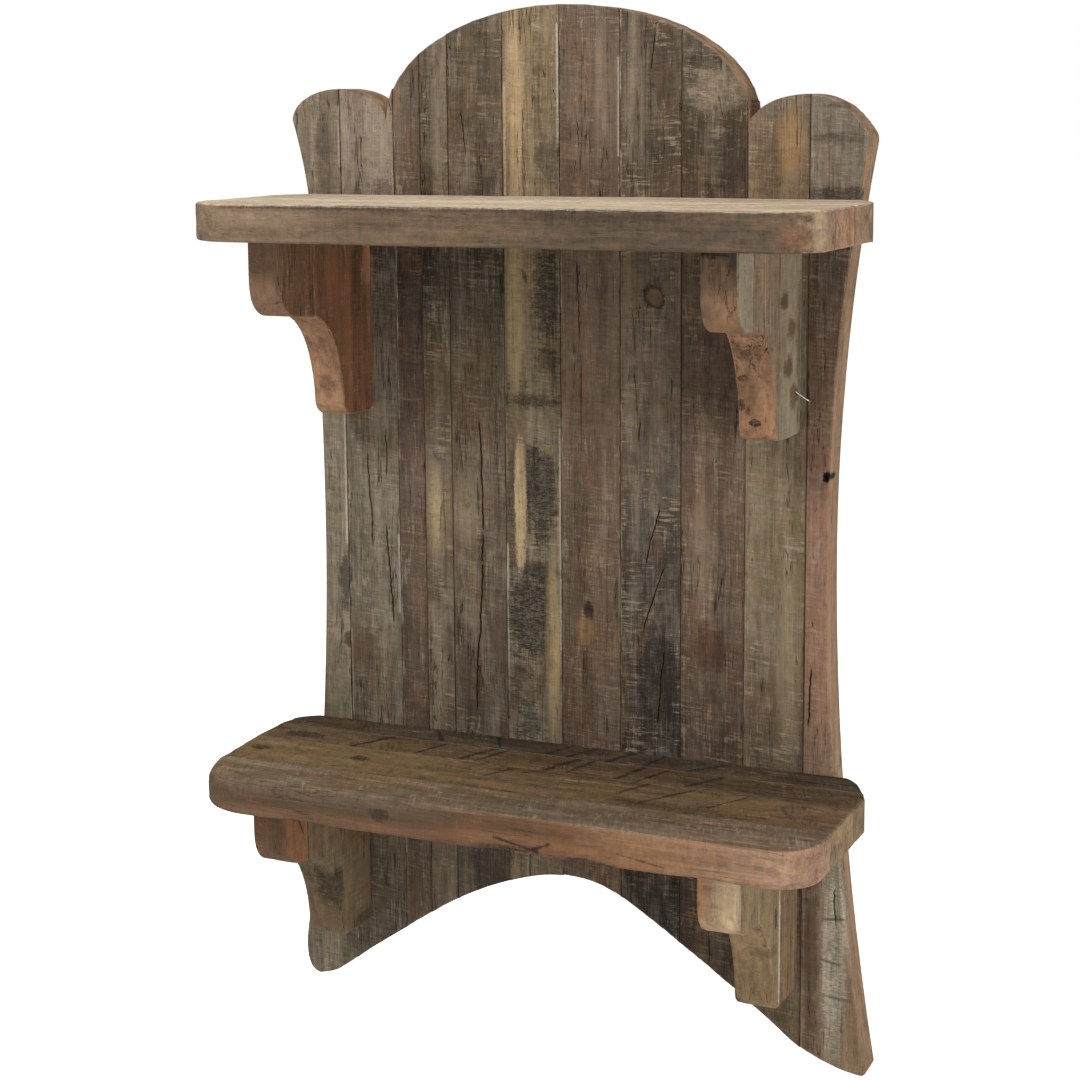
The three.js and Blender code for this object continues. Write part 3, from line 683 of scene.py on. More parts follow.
BOARD_LOOKS = [
    dict(colours=((-0.72, "#695d4a"), (-0.3, "#766a56"), (-0.14, "#6c614e"), (-0.06, "#625746"),
                  (0, "#756754"), (0.06, "#756754")), weather=0.45, sawn=0.3, grimed=0.35,
         marks=(stroke((-214, -31, -190), (-214, -31, -340), 1.7, "#bdb5a4", 0.8),
                stroke((-214, -31, 0), (-214, -31, 50), 1.7, "#bdb5a4", 0.8),
                blot(-217, -375, 5, 30, "#3c342a"), blot(-214, -430, 6, 8, "#43301f"),
                blot(-228, 20, 10, 22, "#5e5346", 0.6, 0.3))),
    # Lath 2: the dark stops at -0.1 and -0.05 m are painted shade under the upper shelf.
    dict(colours=((-0.72, "#5c5040"), (-0.3, "#685e4d"), (-0.16, "#5a4f41"), (-0.1, "#3e362d"),
                  (-0.05, "#373027"), (-0.015, "#7a6b5c"), (0.06, "#817162")),
         weather=0.45, sawn=0.3, grimed=0.5,
         marks=(stroke((-161, -31, -330), (-161, -31, -400), 1.7, "#bdb5a4", 0.8),
                stroke((-212, -31, -420), (-212, -31, -500), 1.4, "#a9a190", 0.7),
                ("split", X, (-192, -253), (-188, -345), 1.1), ("split", X, (-174, -318), (-168, -415), 1.3),
                ("split", X, (-173, -230), (-174, -280), 0.9), crust(-172, -20, 14, 9, "#443a30", 0.7, 0.4),
                blot(-200, -440, 22, 26, "#5a4433", 0.6, 0.3))),
    # Lath 3: the dark stops at -0.1 and -0.05 m are painted shade under the upper shelf.
    dict(colours=((-0.7, "#584839"), (-0.3, "#544337"), (-0.17, "#504034"), (-0.1, "#403328"),
                  (-0.05, "#3d3226"), (-0.015, "#5b4b3c"), (0.06, "#5b4b3c")),
         weather=0.15, sawn=0.1, tinted=0.4,
         grimed=0.3, warm="#7a523c"),
    # Lath 4: the dark stops at -0.1 and -0.05 m are painted shade under the upper shelf.
    dict(colours=((-0.7, "#5d4f3e"), (-0.3, "#6c5c48"), (-0.17, "#584a36"), (-0.1, "#42372a"),
                  (-0.05, "#413629"), (-0.015, "#564834"), (0.1, "#554733")), weather=0.35, sawn=0.45,
         marks=(crust(-122, -302, 13, 38, "#94815f", 0.8, 0.4),
                crust(-128, -372, 8, 20, "#3f382e", 0.8, 0.4),
                crust(-122, -90, 11, 34, "#2e2720", 0.5, 0.3))),
    # Lath 5: the dark stops at -0.1 and -0.05 m are painted shade under the upper shelf.
    dict(colours=((-0.66, "#3f3428"), (-0.3, "#5e4e3e"), (-0.17, "#5c4e3d"), (-0.1, "#393024"),
                  (-0.05, "#362d22"), (-0.015, "#514232"), (0.12, "#4f4231")),
         weather=0.3, sawn=0.25, splits=0.9,
         marks=(("split", X, (-80, -215), (-77, -324), 1.5), ("split", X, (-77, -318), (-87, -490), 1.6),
                ("split", X, (-90, 5), (-95, 52), 0.9), blot(-92, -298, 2.6, 3.2, "#171009", 0.95, 0.9),
                blot(-94, -300, 12, 34, "#86745a", 0.5, 0.3))),
    dict(colours=((-0.62, "#6f604c"), (-0.3, "#665844"), (-0.16, "#75664d"), (-0.1, "#7c6b51"),
                  (-0.05, "#75664d"), (-0.015, "#6e5e45"), (0.13, "#746348")),
         grime="#28231d", grimed=0.8, paled=0.5, pale="#a8967a", weather=0.3, sawn=0.4, line="#a8936f",
         contrast=1.15,
         marks=(stroke((-54, -31, -330), (-54, -31, -470), 1.5, "#c0b8a8", 0.8),
                stroke((-3, -31, -225), (-3, -31, -420), 1.4, "#c0b8a8", 0.7),
                stroke((-53, -31, -24), (-53, -31, 70), 1.6, "#b9a98c", 0.7),
                stroke((-3.5, -31, 20), (-3.5, -31, 118), 1.5, "#c7c0b2", 0.8),
                crust(-22, -284, 17, 46, "#201c17", 0.95, 0.6),
                crust(-35, -392, 21, 44, "#1d1915", 0.97, 0.6),
                crust(-24, -352, 24, 10, "#241f19", 0.8, 0.4),
                crust(-50, -300, 5, 60, "#2b251e", 0.7, 0.4),
                blot(-41, -291, 5.5, 60, "#aa946f", 0.9, 0.8), blot(-11, -420, 6.5, 90, "#9a855f", 0.8, 0.5),
                crust(-40, -458, 18, 22, "#3b2d20", 0.85, 0.5),
                crust(-33, -492, 12, 20, "#2a2a29", 0.9, 0.4),
                crust(-16, -105, 14, 48, "#2a251e", 0.95, 0.5),
                crust(-14, -165, 11, 16, "#33291e", 0.8, 0.4),
                crust(-14, 4, 11, 22, "#4a4134", 0.8, 0.4),
                crust(-16, 62, 12, 40, "#6f5d44", 0.6, 0.2),
                blot(-44, 50, 8, 90, "#a78c69", 0.7, 0.6), blot(-45, -120, 9, 85, "#a8946c", 0.75, 0.6),
                crust(-28, -201, 26, 7, "#33281d", 0.85, 0.4),
                blot(-12, -575, 9, 26, "#a39070", 0.8, 0.5),
                crust(-36, -572, 14, 30, "#17120d", 0.9, 0.4))),
    dict(colours=((-0.62, "#524132"), (-0.3, "#5d4a39"), (-0.17, "#715c49"), (-0.1, "#665343"),
                  (-0.05, "#5e4c3e"), (-0.015, "#574538"), (0.13, "#58493b")), weather=0.2,
         sawn=0.25, grimed=0.25, warm="#7d583b", tinted=0.35,
         marks=(blot(23, -384, 5, 10, "#241a11", 0.9, 0.6), blot(20, -400, 8, 14, "#8f6d42", 0.6, 0.3),
                stroke((52, -31, 10), (52, -31, 90), 1.4, "#b3a997", 0.7),
                ("split", X, (16, 12), (13, 44), 0.8), ("split", X, (12, -75), (16, -150), 0.9),
                blot(40, 60, 12, 60, "#7d6b59", 0.6, 0.3))),
    dict(colours=((-0.64, "#30281d"), (-0.42, "#3a2f26"), (-0.3, "#45392f"), (-0.17, "#796655"),
                  (-0.1, "#6a5a48"), (-0.05, "#5a4d3e"), (-0.015, "#483b2e"), (0.12, "#463a2c")),
         weather=0.3, sawn=0.55, slant=-2.0,
         marks=(("split", X, (90, -283), (74, -342), 1.2), ("split", X, (94, -334), (71, -402), 1.3),
                ("split", X, (93, -409), (86, -484), 1.2), ("split", X, (71, -208), (70, -236), 1.1),
                blot(83, -107, 10, 11, "#2a2018", 0.85, 0.7), blot(84, -108, 7, 7, "#7b664b", 0.9, 0.7),
                crust(88, -440, 18, 48, "#211a14", 0.75, 0.3),
                crust(75, -560, 26, 40, "#1b1510", 0.6, 0.3),
                blot(66, 60, 9, 62, "#7d6e5b", 0.6, 0.3), ("split", X, (85, 118), (80, 74), 0.9))),
    dict(colours=((-0.68, "#49382b"), (-0.3, "#594638"), (-0.1, "#574435"), (-0.015, "#3d3123"),
                  (0.1, "#3a2f22")), weather=0.2, sawn=0.35, grimed=0.3,
         marks=(blot(127, -318, 9, 48, "#84705a", 0.5, 0.2), blot(135, -405, 18, 22, "#4e3526", 0.75, 0.2),
                crust(138, 62, 26, 18, "#8d7d67", 0.7, 0.3),
                crust(150, 10, 13, 34, "#33271d", 0.8, 0.3))),
    dict(colours=((-0.72, "#675740"), (-0.6, "#514136"), (-0.45, "#5f4f3b"), (-0.3, "#6f6047"),
                  (-0.02, "#6c5842"), (0.06, "#685844")), weather=0.3,
         sawn=0.4, grimed=0.3,
         marks=(blot(206, -405, 11, 85, "#8d7d62", 0.55, 0.3), blot(200, 20, 15, 26, "#876a47", 0.7, 0.3),
                crust(182, 0, 12, 34, "#43362a", 0.6, 0.3),
                crust(190, 66, 8, 8, "#2c231b", 0.8, 0.4),
                crust(198, -700, 16, 30, "#4a3c2d", 0.5, 0.3))),
    # Lath 11: the dark stops at -0.14 and -0.05 m are painted shade under the upper shelf, beside the upper
    # right bracket.
    dict(colours=((-0.74, "#876f55"), (-0.6, "#7e6b56"), (-0.45, "#7f604b"), (-0.25, "#83614e"),
                  (-0.14, "#5d4738"), (-0.05, "#45362a"), (-0.015, "#695e50"), (0.08, "#6c6256")),
         weather=0.2, sawn=0.25, grimed=0.35, pale="#9c9282",
         marks=(blot(235, -252, 4, 4, "#0c0805", 0.98, 0.9), ("split", X, (224, -370), (224, -384), 1.3),
                ("split", X, (223, -410), (223, -470), 1.5),
                blot(226, -670, 7, 90, "#5d4b39", 0.8, 0.4),
                crust(247, -664, 11, 92, "#b9b09c", 0.95, 0.5),
                ("split", X, (247, -600), (248, -640), 1.0),
                stroke((238, -31, -632), (258, -31, -630), 1.5, "#2a2119", 0.7),
                stroke((236, -31, -668), (252, -31, -671), 1.5, "#2a2119", 0.6),
                stroke((238, -31, -700), (262, -31, -702), 1.5, "#2a2119", 0.6),
                crust(244, -22, 26, 8, "#2a221b", 0.9, 0.4),
                crust(240, 24, 24, 5, "#3c342b", 0.7, 0.3),
                crust(244, 50, 18, 3, "#3c342b", 0.7, 0.3))),
]
GLUE = {0: 1.0, 1: 0.9, 4: 0.5, 5: 0.8, 6: 0.9, 8: 0.4}  # beads of glue at the joint right of a lath


def saw_strokes(code, *places):
    """Slanted strokes that a blunt saw left on the lower shelf: x and y at each end in mm, then width."""
    return tuple(stroke((x0, y0, LOWER_TOP), (x1, y1, LOWER_TOP), width, code, 0.95)
                 for x0, y0, x1, y1, width in places)


SHELF_LOOKS = {
    "upper_shelf_strip_1": dict(colours=((-0.25, "#b7a187"), (0.27, "#b7a187")), weather=0.2, grey="#b5a894",
                                edges=((-0.27, "#94775d"), (0.285, "#8a6c54"))),
    "upper_shelf_strip_2": dict(colours=((-0.25, "#cbb89e"), (0.27, "#c6b298")), weather=0.25, grey="#b5a894",
                                edges=((-0.27, "#94775d"), (0.285, "#8a6c54"))),
    "upper_shelf_strip_3": dict(colours=((-0.25, "#cbb89e"), (0.27, "#c1ac92")), weather=0.2, grey="#b5a894",
                                grimed=0.35, edges=((-0.27, "#94775d"), (0.285, "#9a7156"))),
    "upper_shelf_strip_4": dict(
        colours=((-0.25, "#c8b59a"), (0.27, "#c4b096")), sawn=0.2, grimed=0.3, weather=0.2, grey="#b5a894",
        splits=0.15, paled=0.2, pores=0.7,
        edges=((-0.27, "#7d6450"), (-0.23, "#6c5643"), (-0.1, "#533d28"), (0.1, "#402d1b"), (0.18, "#382718"),
               (0.24, "#33251a"), (0.268, "#4a3626"), (0.285, "#8f7358")),
        marks=(("stain", (266, -224, -45), (12, 14, 10), "#7c573d", 0.6, 0.2),
               ("stain", (280, -208, -40), (5, 10, 20), "#b39c7c", 0.6, 0.3),
               ("stain", (-180, -231, -34), (70, 10, 6), "#8a7461", 0.4, 0.2),
               ("crust", (120, -231, -32), (60, 10, 6), "#2f2318", 0.6, 0.2),
               ("crust", (-60, -231, -27), (150, 8, 2.2), "#33261a", 0.75, 0.4),
               stroke((40, -228, -25), (225, -222, -25), 1.6, "#2c2118", 0.8),
               stroke((-230, -226, -25), (-60, -229, -25), 1.2, "#4a3a2c", 0.5))),
    # The back strip's dark top: its own dark wood, partly painted shade where it meets the board.
    "lower_shelf_strip_1": dict(
        colours=((-0.25, "#4c3b28"), (0.0, "#3e3023"), (0.27, "#3e3020")), weather=0.1, sawn=0.6,
        line="#231a12", slant=24.0, edges=((-0.27, "#6f5b47"), (0.285, "#7d6a4f")),
        marks=saw_strokes("#1b130c", (-120, -40, -104, -64, 3), (-60, -38, -48, -64, 2),
                          (10, -34, -2, -62, 2.5),
                          (32, -36, 18, -64, 3.5), (66, -38, 54, -66, 4), (96, -34, 88, -64, 3),
                          (150, -40, 128, -64, 3))),
    "lower_shelf_strip_2": dict(
        colours=((-0.25, "#624d30"), (0.0, "#543f27"), (0.27, "#56422a")), weather=0.1, sawn=0.6, slant=22.0,
        line="#2c2016", edges=((-0.27, "#7b6650"), (0.285, "#857052")),
        marks=(("crust", (-228, -92, LOWER_TOP), (20, 9, 8), "#1c130b", 0.9, 0.4),
               *saw_strokes("#1b130c", (-150, -70, -170, -106, 3), (-96, -70, -110, -106, 2.5),
                            (-50, -68, -66, -104, 4), (-38, -68, -50, -102, 2.5), (30, -68, 14, -108, 5),
                            (44, -68, 34, -106, 3), (90, -68, 80, -106, 3.5), (112, -70, 98, -108, 2.5),
                            (160, -72, 140, -106, 2.5)))),
    "lower_shelf_strip_3": dict(
        colours=((-0.25, "#765e3d"), (0.0, "#6c5534"), (0.15, "#664f30"), (0.27, "#634a31")), weather=0.1,
        sawn=0.5, slant=18.0, line="#35281b", edges=((-0.27, "#7b6650"), (0.285, "#8d7556")),
        marks=(("crust", (-243, -142, LOWER_TOP), (12, 6, 8), "#20160d", 0.85, 0.4),
               ("crust", (-148, -138, LOWER_TOP), (9, 8, 8), "#1c130b", 0.9, 0.5),
               ("crust", (150, -160, LOWER_TOP), (60, 9, 8), "#2b2016", 0.7, 0.3),
               ("crust", (60, -116, LOWER_TOP), (120, 7, 8), "#3a2b1c", 0.6, 0.3),
               *saw_strokes("#2a1d12", (150, -112, 120, -160, 2.5), (196, -116, 176, -150, 2),
                            (110, -112, 96, -140, 3), (-10, -112, -26, -140, 2.5)))),
    "lower_shelf_strip_4": dict(
        colours=((-0.25, "#6a563d"), (0.0, "#64513b"), (0.27, "#6a543d")), weather=0.3, sawn=0.45,
        grimed=0.45, splits=0.4, slant=20.0,
        edges=((-0.27, "#57432f"), (-0.15, "#503d2a"), (0.0, "#4f3925"), (0.08, "#583d27"), (0.14, "#7a583d"),
               (0.2, "#86644a"), (0.285, "#a08068")), warm="#86572f", edge_amount=1.0,
        marks=(("stain", (-150, -231, -531), (140, 12, 6), "#71513a", 0.5, 0.1),
               ("crust", (-130, -222, -512), (120, 22, 8), "#5e5344", 0.6, 0.2),
               ("crust", (60, -212, LOWER_TOP), (110, 16, 8), "#554a3c", 0.7, 0.2),
               ("stain", (40, -231, -527), (70, 9, 9), "#775238", 0.5, 0.1),
               ("crust", (30, -231, -534), (26, 10, 4), "#1d130b", 0.85, 0.5),
               ("crust", (104, -231, -536), (22, 10, 4), "#0f0a06", 0.9, 0.6),
               ("crust", (-80, -229, -519), (9, 12, 6), "#231810", 0.85, 0.5),
               stroke((58, -231, -530), (72, -231, -524), 1.8, "#0d0805", 0.95),
               stroke((24, -231, -524), (62, -231, -532), 1.5, "#120b06", 0.9),
               stroke((130, -231, -524), (168, -231, -530), 0.9, "#3a2417", 0.7))),
}

BRACKET_LOOKS = {
    "bracket_upper_left_layer_1": dict(
        colours=((-0.22, "#714a2f"), (-0.05, "#67462e")), weather=0.05, sawn=0.05, grimed=0.4, warm="#744a2c",
        contrast=0.8, splits=0.3, edges=((-0.22, "#9c785b"), (-0.05, "#86654d")),
        marks=(("stain", (-184, -37, -78), (9, 8, 30), "#a5734f", 0.75, 0.3),
               ("stain", (-184, -56, -88), (9, 8, 46), "#452d1c", 0.6, 0.2),
               ("stain", (-184, -74, -150), (9, 7, 80), "#8b5c3c", 0.5, 0.2),
               ("stain", (-184, -100, -90), (9, 9, 40), "#8a5a3a", 0.5, 0.2),
               ("stain", (-184, -121, -90), (9, 7, 40), "#4f3320", 0.55, 0.2),
               ("crust", (-200, -88, -188), (9, 10, 10), "#4c2f1e", 0.7, 0.3))),
    "bracket_upper_left_layer_2": dict(
        colours=((-0.22, "#704d33"), (-0.05, "#66472f")), weather=0.05, sawn=0.05, warm="#744a2c",
        contrast=0.8,
        edges=((-0.22, "#8b6a50"), (-0.09, "#785e47"), (-0.05, "#6d5541"))),
    "bracket_upper_right_layer_1": dict(
        colours=((-0.22, "#877a62"), (-0.05, "#7d7058")), weather=0.3, sawn=0.1, warm="#775b3f", tinted=0.5,
        contrast=0.7, edges=((-0.22, "#8a6b50"), (-0.05, "#8a6b50")),
        marks=(("stain", (213, -78, -104), (9, 12, 9), "#54402a", 0.95, 0.3),
               ("stain", (213, -58, -128), (9, 12, 9), "#604a31", 0.95, 0.3),
               ("stain", (213, -66, -158), (9, 12, 9), "#54402a", 0.95, 0.3),
               ("stain", (213, -50, -184), (9, 11, 10), "#604a31", 0.95, 0.3),
               ("crust", (213, -38, -150), (9, 5, 60), "#3c3022", 0.6, 0.3))),
    "bracket_upper_right_layer_2": dict(
        colours=((-0.22, "#7c6650"), (-0.05, "#7a644d")), weather=0.2, sawn=0.1,
        edges=((-0.22, "#946c4e"), (-0.05, "#7d604a")),
        marks=(("crust", (187, -108, -164), (4.5, 16, 3), "#080402", 1.0, 0.9),
               ("crust", (184, -100, -186), (3.5, 16, 5), "#080402", 1.0, 0.9),
               ("crust", (195, -100, -200), (5, 16, 2.6), "#080402", 1.0, 0.9),
               ("crust", (189, -100, -178), (12, 16, 18), "#6a4a33", 0.6, 0.2),
               ("crust", (195, -116, -141), (17, 16, 6), "#3e2c1d", 0.75, 0.2),
               stroke((213, -128, -60), (213, -126, -120), 1.4, "#a79a84", 0.7),
               stroke((213, -112, -60), (213, -114, -126), 1.0, "#9a8c74", 0.6))),
    "bracket_upper_right_layer_3": dict(
        colours=((-0.22, "#8b8069"), (-0.05, "#8b8069")), weather=0.4, sawn=0.1, contrast=0.8,
        # Its edge stops darken towards -0.06 m: painted shade under the upper shelf on the nose.
        edges=((-0.12, "#80603f"), (-0.085, "#745740"), (-0.06, "#35261a")),
        marks=(("crust", (181, -190, -104), (16, 12, 7), "#5a4330", 0.6, 0.3),
               # A near-black mark on top of the nose: painted shade in the real hollow under the upper shelf.
               ("crust", (190, -191, -57), (24, 20, 5), "#150d07", 0.95, 0.5))),
    "bracket_lower_left_layer_1": dict(
        colours=((-0.7, "#6b583d"), (-0.5, "#745f42")), weather=0.2, sawn=0.1, contrast=0.8,
        marks=(("crust", (-200, -96, -645), (20, 14, 22), "#2b1f15", 0.85, 0.2),
               ("crust", (-197, -44, -690), (14, 20, 10), "#2b2219", 0.7, 0.3),
               stroke((-197, -42, -605), (-197, -44, -632), 1.4, "#1c130c", 0.85)),
        edges=((-0.7, "#5e4f38"), (-0.5, "#57482f"))),
    "bracket_lower_left_layer_2": dict(
        colours=((-0.7, "#8b6040"), (-0.5, "#835a3a")), weather=0.05, sawn=0.1, warm="#85522f", contrast=0.8,
        edges=((-0.7, "#6b503a"), (-0.5, "#584028")),
        marks=(stroke((-197, -160, -560), (-197, -152, -575), 1.2, "#20140c", 0.8),
               ("crust", (-224, -179, -545), (20, 9, 14), "#33251a", 0.7, 0.3))),
    "bracket_lower_right_layer_1": dict(
        colours=((-0.7, "#7b6548"), (-0.5, "#755f44")), weather=0.2, sawn=0.1,
        edges=((-0.7, "#97795e"), (-0.5, "#97795e"))),
    "bracket_lower_right_layer_2": dict(
        colours=((-0.7, "#80664a"), (-0.5, "#786045")), weather=0.1, sawn=0.1,
        edges=((-0.7, "#a08064"), (-0.5, "#a08064"))),
    "bracket_lower_right_layer_3": dict(
        colours=((-0.7, "#86724f"), (-0.5, "#7f6a4a")), weather=0.2, sawn=0.1, contrast=0.8,
        edges=((-0.7, "#8c7556"), (-0.61, "#846c4c"), (-0.6, "#a4876a"), (-0.52, "#997a60")),
        marks=(("stain", (206, -189, -566), (12, 12, 36), "#b39d7d", 0.85, 0.5),
               ("stain", (183, -189, -566), (5, 12, 32), "#ab7850", 0.7, 0.3),
               # A near-black mark on top of the nose: painted shade in the real hollow under the lower shelf.
               ("crust", (189, -189, -537), (16, 12, 4.5), "#080402", 1.0, 0.7),
               stroke((215, -80, -545), (215, -80, -690), 2.4, "#d3cbba", 0.95),
               ("crust", (215, -90, -612), (6, 4, 9), "#120b06", 0.95, 0.6),
               ("crust", (202, -96, -640), (16, 12, 8), "#4a3a26", 0.6, 0.3))),
}


# --- Dents, and the way the dented face looks ---

FRONT, UP = (0, -1, 0), (0, 0, 1)
COVE = (0, -0.8, -0.6)

LATH_DENTS = {
    6: (dent((-25, -31, -200), (26, 9, 5), 0.8, FRONT),),
    7: (dent((23, -31, -384), (5, 9, 9), 1.4, FRONT),),
    8: (dent((84, -31, 124), (5, 16, 13), 5.0), dent((83, -31, -107), (9, 9, 10), 1.3, FRONT)),
    9: (dent((128, -31, 124), (8, 9, 9), 1.5),),
    11: (dent((235, -31, -252), (4.5, 12, 4.5), 7.0, FRONT),),
}
SHELF_DENTS = {
    "upper_shelf_strip_4": (dent((130, -231, -26), (24, 5, 4), 1.2), dent((-40, -231, -26), (30, 5, 4), 0.9),
                            dent((40, -231, -56), (40, 5, 3), 0.8)),
    "lower_shelf_strip_4": (
        dent((36, -231, -536), (28, 8, 6), 3.0), dent((104, -231, -536), (20, 7, 5), 3.0),
        dent((-80, -231, -521), (8, 8, 6), 1.6, FRONT), dent((-150, -231, -536), (40, 8, 5), 1.5),
        dent((200, -231, -536), (30, 8, 5), 1.2),
    ),
}
BRACKET_DENTS = {
    "bracket_upper_left_layer_1": (pits(7, 1.6, COVE, 5), dent((-200, -100, -190), (9, 16, 9), 1.8)),
    "bracket_upper_right_layer_1": (pits(6, 1.4, COVE, 3),),
    "bracket_upper_right_layer_2": (
        pits(6, 2.4, COVE, 9), dent((188, -100, -160), (5, 12, 7), 3.2),
        dent((190, -98, -190), (5, 12, 7), 3.0),
    ),
    "bracket_upper_right_layer_3": (dent((178, -200, -56), (20, 36, 9), 5.0, UP), pits(9, 0.8, COVE, 4)),
    "bracket_lower_right_layer_3": (
        dent((182, -190, -536), (17, 26, 8), 4.5, UP), dent((215, -189, -566), (5, 6, 34), 1.8),
        pits(7, 1.2, COVE, 6),
    ),
    "bracket_lower_left_layer_1": (pits(8, 1.0, COVE, 7),),
}


def steel(name, code, roughness):
    """Zinc-plated or bright steel: a fine crystal mottle in the plating, with dull spots."""
    material = bpy.data.materials.new(name)
    material.use_nodes = True
    tree = material.node_tree
    tree.nodes.clear()
    where = add(tree, "ShaderNodeTexCoord").outputs["Object"]
    spangle = add(tree, "ShaderNodeTexVoronoi", {"Vector": where, "Scale": 1 / (1.1 * MM)}).outputs["Color"]
    dull = add(tree, "ShaderNodeTexNoise", {
        "Vector": where, "Scale": 1 / (6 * MM), "Detail": 4.0,
    }).outputs["Fac"]
    shade = add(tree, "ShaderNodeSeparateColor", {"Color": spangle}).outputs["Red"]
    gain = add(tree, "ShaderNodeMapRange", {"Value": shade, "To Min": 0.85, "To Max": 1.1}).outputs["Result"]
    colour = add(tree, "ShaderNodeVectorMath", {0: linear(code), "Scale": gain}, operation="SCALE")
    rough = add(tree, "ShaderNodeMapRange", {
        "Value": dull, "From Min": 0.35, "From Max": 0.7, "To Min": roughness, "To Max": roughness + 0.25,
    }).outputs["Result"]
    shader = add(tree, "ShaderNodeBsdfPrincipled", {
        "Base Color": colour.outputs["Vector"], "Metallic": 1.0, "Roughness": rough,
    })
    add(tree, "ShaderNodeOutputMaterial", {"Surface": shader.outputs["BSDF"]})
    return material


def paint(piece, material):
    piece.data.materials.clear()
    piece.data.materials.append(material)


def fixing_places():
    """Where the CAD's screws, plates and brad lie: x, z, reach across and up, and the depth it starts at."""
    places = []
    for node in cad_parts:
        if "screw" in node or "plate" in node or "brad" in node:
            low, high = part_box(node)
            wide, tall = PLATE_REACH if "plate" in node else (HOLE_REACH, HOLE_REACH)
            front = RECESS_FRONT if "plate" in node else CAD_BOX[0][1] - MM
            places.append(((low[0] + high[0]) / 2, (low[2] + high[2]) / 2, wide, tall, front))
    return places


FIXINGS = fixing_places()


def joint_planes(node, axis, first, last):
    """Where a piece meets its glued neighbours along an axis."""
    low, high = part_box(node)
    return [plane for plane, free in ((low[axis], first), (high[axis], last)) if not free]


# --- Stage ---

FLOOR_RADIUS = 14.0
FLOOR_DROP = 0.002  # below the lowest point, so that the feet don't touch it
FLOOR_GLOW = 0.92  # what the camera sees of the floor, so that it meets the backdrop without a line
LIGHTS_AIM = (0, 0, -0.35)
SENSOR_WIDTH = 36  # mm
VIEW_END = 50.0
CAMERA_PLACE = (0.7400, -1.7463, 0.0527)
CAMERA_TURN = (23.951, 9.241, 0.445)  # yaw, downward pitch and roll, in degrees
CAMERA_SHIFT = -80 / 1080  # of the frame's height


# --- Operators ---


class SHELF_OT_board(bpy.types.Operator):
    """Finish the back board's eleven laths"""
    bl_idname = "wall_shelf.board"
    bl_label = "Back board"

    def execute(self, context):
        settings = context.scene.wall_shelf_board
        count = len(BOARD_LOOKS)
        draw = Random(11)
        for i, look in enumerate(BOARD_LOOKS):
            node = f"board_strip_{i + 1:02d}"
            joints = joint_planes(node, ALONG_X, i == 0, i == count - 1)
            piece = timber_piece(
                node, f"lath_{i + 1:02d}", ALONG_X, joints, settings, LATH_GRID, i + 1, ALONG_Z, look,
                LATH_DENTS.get(i + 1, ()), draw.uniform(0, UNEVEN_FRONT),
            )
            sawn = tuple(settings.sawn_edge)
            edges = ((CAD_BOX[0][2], sawn), (CAD_BOX[1][2], sawn))
            middle = sum(corner[0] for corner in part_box(node)) / 2
            seams = [(ALONG_X, plane, GLUE.get(i - (plane < middle), 0.0)) for plane in joints]
            paint(piece, reclaimed_timber(
                f"reclaimed hardwood, weathered lath {i + 1}", 100 + i, ALONG_Z,
                edges=edges, seams=seams, **look))
        return {"FINISHED"}


class SHELF_OT_shelves(bpy.types.Operator):
    """Finish the strips of both shelves"""
    bl_idname = "wall_shelf.shelves"
    bl_label = "Shelves"

    def execute(self, context):
        settings = context.scene.wall_shelf_shelves
        for i, (node, look) in enumerate(SHELF_LOOKS.items()):
            number = int(node[-1])
            joints = joint_planes(node, ALONG_Y, number == 4, number == 1)
            piece = timber_piece(
                node, node.replace("_strip_", "_plank_"), ALONG_Y, joints, settings, SHELF_GRID,
                20 + i, ALONG_X, look, SHELF_DENTS.get(node, ()),
            )
            paint(piece, reclaimed_timber(
                f"reclaimed hardwood, {node.replace('_', ' ')}", 200 + i, ALONG_X, flat_axes=(ALONG_Z,),
                seams=[(ALONG_Y, plane, 0.2) for plane in joints], **look))
        return {"FINISHED"}


class SHELF_OT_brackets(bpy.types.Operator):
    """Finish the glued layers of the four scroll brackets"""
    bl_idname = "wall_shelf.brackets"
    bl_label = "Brackets"

    def execute(self, context):
        settings = context.scene.wall_shelf_brackets
        for i, (node, look) in enumerate(BRACKET_LOOKS.items()):
            stem, number = node.rsplit("_", 1)
            layers = sum(other.startswith(stem) for other in BRACKET_LOOKS)
            joints = joint_planes(node, ALONG_Y, int(number) == layers, False)
            piece = timber_piece(
                node, node.replace("_layer_", "_block_"), ALONG_Y, joints, settings, BRACKET_GRID,
                40 + i, ALONG_Z, look, BRACKET_DENTS.get(node, ()),
            )
            paint(piece, reclaimed_timber(
                f"reclaimed hardwood, {node.replace('_', ' ')}", 300 + i, ALONG_Z, flat_axes=(ALONG_X,),
                seams=[(ALONG_Y, plane, 0.4) for plane in joints], **look))
        return {"FINISHED"}


class SHELF_OT_fixings(bpy.types.Operator):
    """Finish the screws, keyhole plates and brad"""
    bl_idname = "wall_shelf.fixings"
    bl_label = "Fixings"

    def execute(self, context):
        # Zinc plate: soft grey, half matt. The brad is drawn wire: brighter and smoother.
        zinc = steel("zinc-plated steel", "#b9b7ae", 0.38)
        bright = steel("bright drawn steel", "#dcdbd8", 0.2)
        for node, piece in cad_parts.items():
            if "screw" in node or "plate" in node:
                paint(piece, zinc)
            elif "brad" in node:
                paint(piece, bright)
        return {"FINISHED"}


